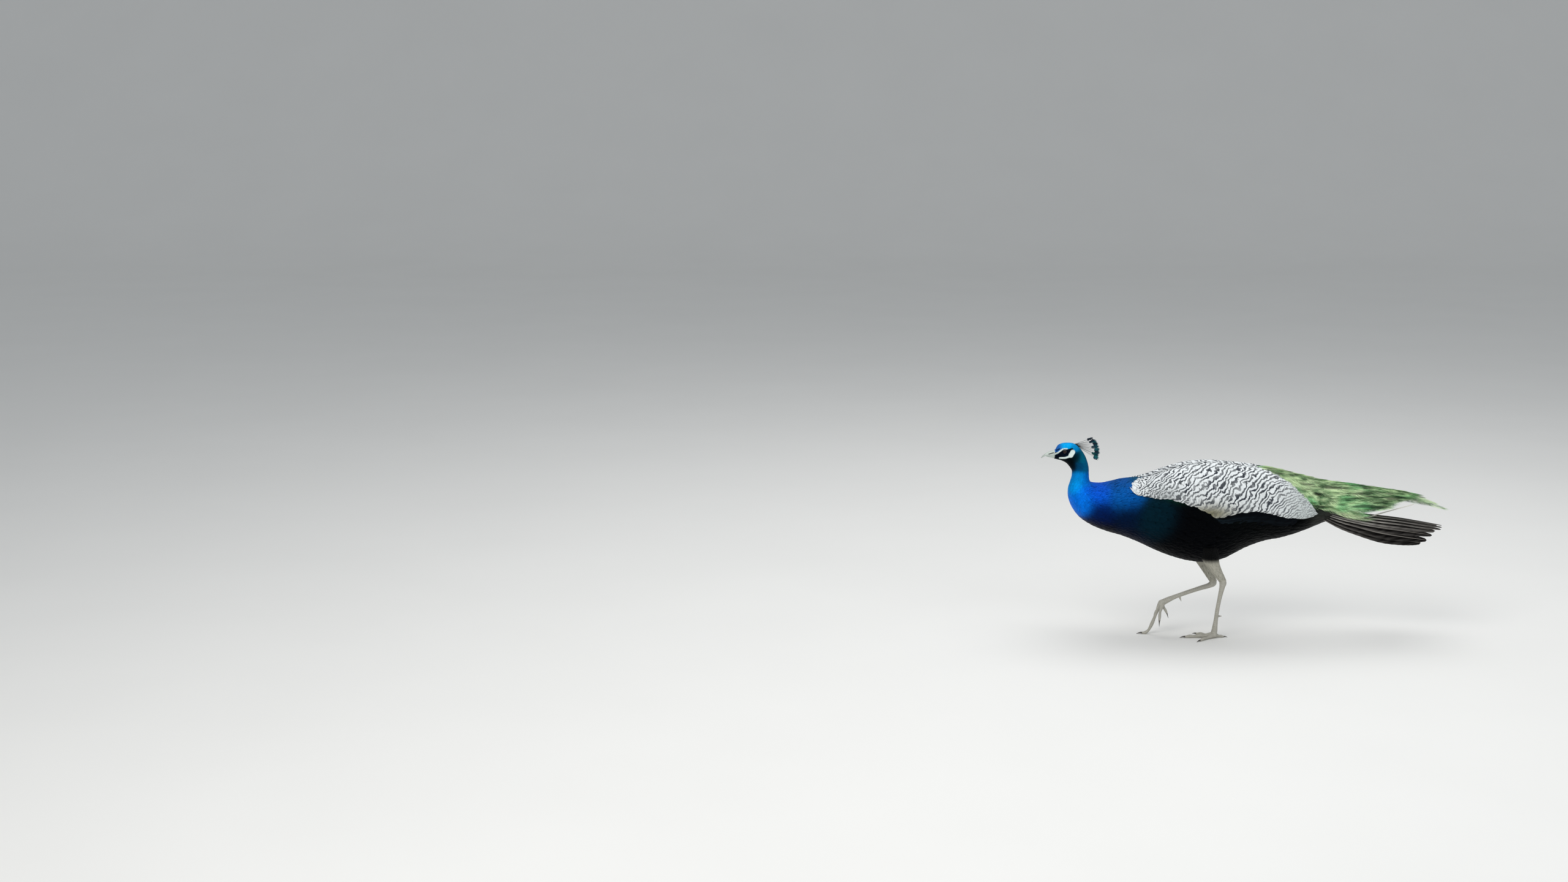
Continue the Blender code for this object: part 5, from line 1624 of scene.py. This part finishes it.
def make_eyes(finish, lids):
    """Eyeballs with a clear bulge over the iris, and the lids round them."""
    polar = np.linspace(0.03, math.pi - 0.03, 48)[:, None]
    around = circle(48)[None, :]
    for side_name, side in SIDES:
        centre, forward, upward, outward = eye_frame(side)
        radius = EYE_RADIUS * (0.97 + 0.05 * np.exp(-(polar / 0.55) ** 4))
        ring = forward * np.cos(around)[..., None] + upward * np.sin(around)[..., None]
        directions = ring * np.sin(polar)[..., None] + outward * np.cos(polar)[..., None]
        points, faces = closed_tube(centre + radius[..., None] * directions)
        place = np.stack(np.broadcast_arrays(polar, around / (2 * math.pi), 0.5), axis=-1).reshape(-1, 3)
        place = np.concatenate([place, [[0.0, 0.0, 0.5], [math.pi, 0.0, 0.5]]])
        shells = Shells()
        shells.add(points, facing_out(points, faces), place, (0.02, 0.01, 0.01, 0.0))
        shells.piece(side_name + "_eyeball", finish, ("eye_" + side_name,))
        make_lids(side_name, centre, forward, upward, outward, lids)


def make_lids(side_name, centre, forward, upward, outward, finish):
    """Lids: a ring of skin from an almond opening on the eyeball out to the skin, in soft folds.

    The opening's half length and half height pinch to corners by a power of the sine. Outwards the
    lid first follows the eyeball and then falls to the skin, and a second layer closes it below.
    """
    around = circle(64)[:, None]
    share = np.linspace(0, 1, 14)[None, :]
    cosine, sine = np.cos(around), np.sin(around)
    open_x, open_z = 0.0044 * cosine, 0.0036 * signed_power(sine, 1.25)
    rim_x, rim_z = 0.0085 * cosine, 0.0072 * sine
    x, z = open_x + (rim_x - open_x) * share, open_z + (rim_z - open_z) * share
    reach = np.hypot(x, z)
    over_ball = np.sqrt(np.clip((EYE_RADIUS + 0.0004) ** 2 - reach ** 2, 1e-8, None))
    skin = 0.0026 - 0.0013 * np.clip(-cosine, 0, 1) - 0.0009 * np.clip(sine, 0, 1)
    blend = ease(share, 0.15, 1.0)
    folds = 0.00012 * np.sin(share * 4 * 2 * math.pi) * ease(share, 0.1, 0.3) * (1 - share)
    top = over_ball * (1 - blend) + skin * blend + folds + 0.0002 * np.sin(math.pi * np.clip(share * 3, 0, 1))
    layers = np.concatenate([np.stack([x, z, top], axis=-1),
                             np.stack([x, z, top - 0.0009], axis=-1)[:, ::-1]], axis=1)
    rows, columns = layers.shape[:2]
    points = (centre + layers @ np.stack([forward, upward, outward])).reshape(-1, 3)
    faces = facing_out(points, [grid_faces(rows, columns, True, True)])
    both = np.concatenate([share, share[:, ::-1]], axis=1)
    place = np.stack(np.broadcast_arrays(both, 0.0, np.zeros((rows, 1))), axis=-1).reshape(-1, 3)
    shells = Shells()
    shells.add(points, faces, place, (*linear((24, 30, 38)), 0.0))
    shells.piece(side_name + "_eyelids", finish)


# Legs

def add_tube(shells, surface, length, rings, sides, relief=None):
    """A closed tube over a limb's surface, raised by a relief of (share along, angle) if any.

    What would lie below the floor is pressed flat on it.
    """
    u, v = limb_grid(length, rings, sides)
    height = np.zeros(u.shape) if relief is None else relief(u / length, v)
    points = surface.points(u, v) + surface.normals(u, v) * height[..., None]
    points[..., 2] = np.maximum(points[..., 2], 0.0)
    flat, faces = closed_tube(points)
    mark = np.append(np.clip(0.5 + height.ravel() / 0.0004, 0, 1), [0.5, 0.5])
    place = np.stack([np.zeros(len(flat)), mark, np.full(len(flat), 0.5)], axis=1)
    shells.add(flat, facing_out(flat, faces), place, (*linear((170, 166, 154)), 0.0))


def scutes(plates, depth):
    """Relief of leg scales: broad plates down the front, each rising to its lower edge, and small
    round scales behind, the product of two sines.
    """
    def relief(share, angle):
        front = ease(-np.cos(angle), -0.05, 0.35)
        step = (share * plates) % 1.0
        plate = depth * (step ** 1.5 - 0.5) - depth * 0.9 * ease(step, 0.90, 1.0)
        small = (np.abs(np.sin(share * plates * 1.6 * math.pi) * np.sin(angle * 5.0)) - 0.5) * depth
        return mixed(small, plate, front)
    return relief


def toe_rows(toe, side):
    """Centre line and radii of a toe, and the direction sideways of it.

    It runs straight out from the palm, arched a little, in a plane turned sideways by its angle.
    The lifted foot's toes turn down with the palm, and its middle toe reaches the floor.
    """
    sideways, length, radius = TOES[toe]
    share = np.linspace(0.0, 1.0, 37)
    knuckles = 1 - 0.13 * np.cos(share * 2 * math.pi * (3 if toe == "middle" else 2))
    reach = length * share
    radii = radius * ((1 - 0.2 * share) * knuckles + 0.95 * np.exp(-(reach / 0.012) ** 2))
    palm_x, palm_z = PALM[side]
    y = side * FOOT_OFFSET
    turn = math.radians(sideways)
    if side == RIGHT and toe == "middle":
        knots = np.vstack([PALM[side], REACHING_TOE])
        line = smooth_through(np.linspace(0, 1, len(knots)), knots, share)
        return np.stack([line[:, 0], np.full(37, y), line[:, 1]], axis=1), radii, turn * side
    forward, outward = -reach * math.cos(turn), reach * math.sin(turn) * side
    if side == LEFT:
        height = radii - FLOOR_PRESS - palm_z + 0.0015 * np.sin(math.pi * share)
        tilt = 0.0
    else:
        height = -0.003 - 0.007 * share ** 2
        tilt = math.radians(HANGING_REAR_TOE if toe == "rear" else PALM_TILT[RIGHT])
    x = palm_x + forward * math.cos(tilt) - height * math.sin(tilt)
    z = palm_z + height * math.cos(tilt) + forward * math.sin(tilt)
    return np.stack([x, y + outward, z], axis=1), radii, turn * side


def claw_rows(toe, points, radii):
    """Centre line and radii of a claw: on from the toe, and down to a point."""
    direction = unit(points[-1] - points[-2])
    share = np.linspace(0.0, 1.0, 15)
    length = CLAW_LENGTH[toe]
    path = points[-1] + direction * ((length + 0.003) * share - 0.003)[:, None]
    size = radii[-1] * 0.84 * (1 - 0.90 * share ** 1.3)
    if points[-1, 2] < 0.006:
        settled = ease(share)
        path[:, 2] += (size - path[:, 2]) * settled + 0.0012 * np.sin(math.pi * share)
    else:
        path[:, 2] -= 0.35 * length * share ** 2
    return path, size


def palm_rings(side):
    """Rings of the pad where the toes meet: a flattened ball in small bumps, flat on the floor."""
    polar = np.linspace(0.06, math.pi - 0.06, 60)[:, None]
    around = circle(90)[None, :]
    bumps = 0.82 + 0.010 * np.sin(polar * 24) * np.sin(around * 20)
    across, high = PALM_RADII
    tilt = math.radians(PALM_TILT[side])
    x, z = PALM[side]
    forward = np.sin(polar) * np.cos(around) * across * bumps
    sideways = np.sin(polar) * np.sin(around) * across * bumps
    height = np.maximum(np.cos(polar) * high * bumps, -z if side == LEFT else -high)
    return np.stack(np.broadcast_arrays(
        x + forward * math.cos(tilt) - height * math.sin(tilt), side * FOOT_OFFSET + sideways,
        np.maximum(z + height * math.cos(tilt) + forward * math.sin(tilt), 0.0)), axis=-1)


def make_legs(scales, horn):
    """Scaled shanks with spurs, palms and toes, one piece for each leg, and the claws."""
    for side_name, side in SIDES:
        leg = Shells()
        rows = np.vstack([SHANK[side], [*PALM[side], 0.0090]])
        limb, length = limb_surface(rows, side, (HOCK_OFFSET, FOOT_OFFSET))
        add_tube(leg, limb, length, 260, 32, scutes(30, 0.00024))
        points, faces = closed_tube(palm_rings(side))
        leg.add(points, facing_out(points, faces), (0.0, 0.5, 0.5), (0.4, 0.38, 0.33, 0.0))
        claws = Shells()
        for toe in TOES:
            path, radii, turn = toe_rows(toe, side)
            surface, reach = path_surface(path, radii, turn)
            add_tube(leg, surface, reach, 110, 20, scutes(18 if toe == "middle" else 13, 0.00022))
            claw_path, claw_radii = claw_rows(toe, path, radii)
            surface, reach = path_surface(claw_path, claw_radii, turn)
            add_tube(claws, surface, reach, 16, 12)
        add_spur(leg, side)
        toes = [f"toe_{toe}_{side_name}" for toe in TOES]
        leg.piece(side_name + "_leg_scales", scales,
                  ["shank_" + side_name, "palm_" + side_name] + toes)
        claws.piece(side_name + "_claws", horn, [f"claw_{toe}_{side_name}" for toe in TOES])


def add_spur(shells, side):
    """A short pointed spur on the back of the shank, a little to the inside."""
    rows = SHANK[side]
    at = path_length(rows[:, :2])
    here, ahead = smooth_through(at, rows, np.array([SPUR_AT * at[-1], SPUR_AT * at[-1] + 0.001]))
    down = unit(ahead[:2] - here[:2])
    out = unit(np.array([-down[1], -0.35 * side, down[0]]))
    base = np.array([here[0], side * (HOCK_OFFSET + (FOOT_OFFSET - HOCK_OFFSET) * SPUR_AT), here[1]])
    share = np.linspace(0, 1, 14)
    path = base + out * (0.002 + SPUR_LENGTH * share)[:, None]
    surface, length = path_surface(path, SPUR_RADIUS * (1 - 0.90 * share ** 1.2), 0.0)
    add_tube(shells, surface, length, 16, 12)


# Studio

LAMPS = [
    # name, place, size, power, colour: all are turned to the bird's middle
    ("key_light", (-2.2, -3.0, 3.6), 2.6, 92.0, (1.0, 0.985, 0.96)),
    ("fill_light", (2.6, -3.6, 2.2), 3.0, 36.0, (0.95, 0.98, 1.0)),
    ("top_light", (0.2, 0.6, 3.6), 3.0, 62.0, (1.0, 1.0, 1.0)),
]
LIT_PLACE = np.array([0.0, 0.0, 0.3])
SKY_COLOUR, SKY_STRENGTH = (0.90, 0.95, 1.0, 1.0), 0.42
CAMERA_PLACE, CAMERA_DOWN, CAMERA_LENS = (-1.198, -5.549, 1.561), 10.6, 50.0


def make_studio():
    """Pale floor that curves up far behind, soft lights, and the camera."""
    depth = np.concatenate([np.linspace(-9, 9, 10), 9 + 4 * np.sin(np.linspace(0.1, math.pi / 2, 12))])
    rise = np.concatenate([np.zeros(10), 4 * (1 - np.cos(np.linspace(0.1, math.pi / 2, 12)))])
    depth, rise = np.append(depth, 13.0), np.append(rise, 12.0)
    across = np.linspace(-16, 16, 9)
    points = np.stack(np.broadcast_arrays(across, depth[:, None], rise[:, None]), axis=-1).reshape(-1, 3)
    mesh = bpy.data.meshes.new("studio_floor")
    mesh.from_pydata(points.tolist(), [], grid_faces(len(depth), 9, False)[:, ::-1].tolist())
    mesh.shade_smooth()
    mesh.materials.append(floor_finish())
    floor = linked("studio_floor", mesh)
    for name, place, size, power, colour in LAMPS:
        lamp = bpy.data.lights.new(name, "AREA")
        lamp.energy, lamp.size, lamp.color = power, size, colour
        made = linked(name, lamp)
        made.location = place
        x, y, z = unit(LIT_PLACE - np.array(place))
        made.rotation_euler = (math.acos(-z), 0.0, math.atan2(y, x) - math.pi / 2)
    world = bpy.data.worlds.new("studio_world")
    world.use_nodes = True
    sky = world.node_tree.nodes["Background"].inputs
    sky["Color"].default_value, sky["Strength"].default_value = SKY_COLOUR, SKY_STRENGTH
    bpy.context.scene.world = world
    camera = bpy.data.cameras.new("camera")
    camera.lens, camera.sensor_width = CAMERA_LENS, 36.0
    made = linked("camera", camera)
    made.location = CAMERA_PLACE
    made.rotation_euler = (math.radians(90 - CAMERA_DOWN), 0.0, 0.0)
    bpy.context.scene.camera = made
    bpy.context.scene.view_settings.view_transform = "Standard"


def main():
    """Makes the studio and every piece of the bird."""
    make_studio()
    glossy = plumage_finish()
    make_skin(glossy)
    make_coat(glossy)
    make_thigh_down(down_finish())
    make_wings(barred_finish(), vane_finish("flight feathers", (3, 9, 15), (40, 54, 62), (34, 38, 42),
                                            0.5, 0.6, 0.2))
    make_train(plume_finish("train plumes", (22, 44, 28), (112, 156, 104), (226, 250, 196), (120, 245, 200),
                            (132, 140, 96)))
    make_quill(horn_finish("bare quill", (226, 224, 214), (150, 146, 136)))
    make_tail(vane_finish("tail feathers", (13, 11, 11), (186, 180, 174), (226, 218, 208), 1.9, 0.75, 0.16))
    make_crest(plume_finish("crest plumes", (4, 20, 40), (10, 66, 84), (20, 112, 112), (150, 200, 255),
                            (90, 94, 90), 0.3))
    make_bill(horn_finish("bill horn", (196, 206, 198), (34, 40, 44)))
    make_eyes(eye_finish(), lid_finish())
    make_legs(scale_finish(), horn_finish("claw horn", (96, 92, 84), (40, 38, 34)))


main()
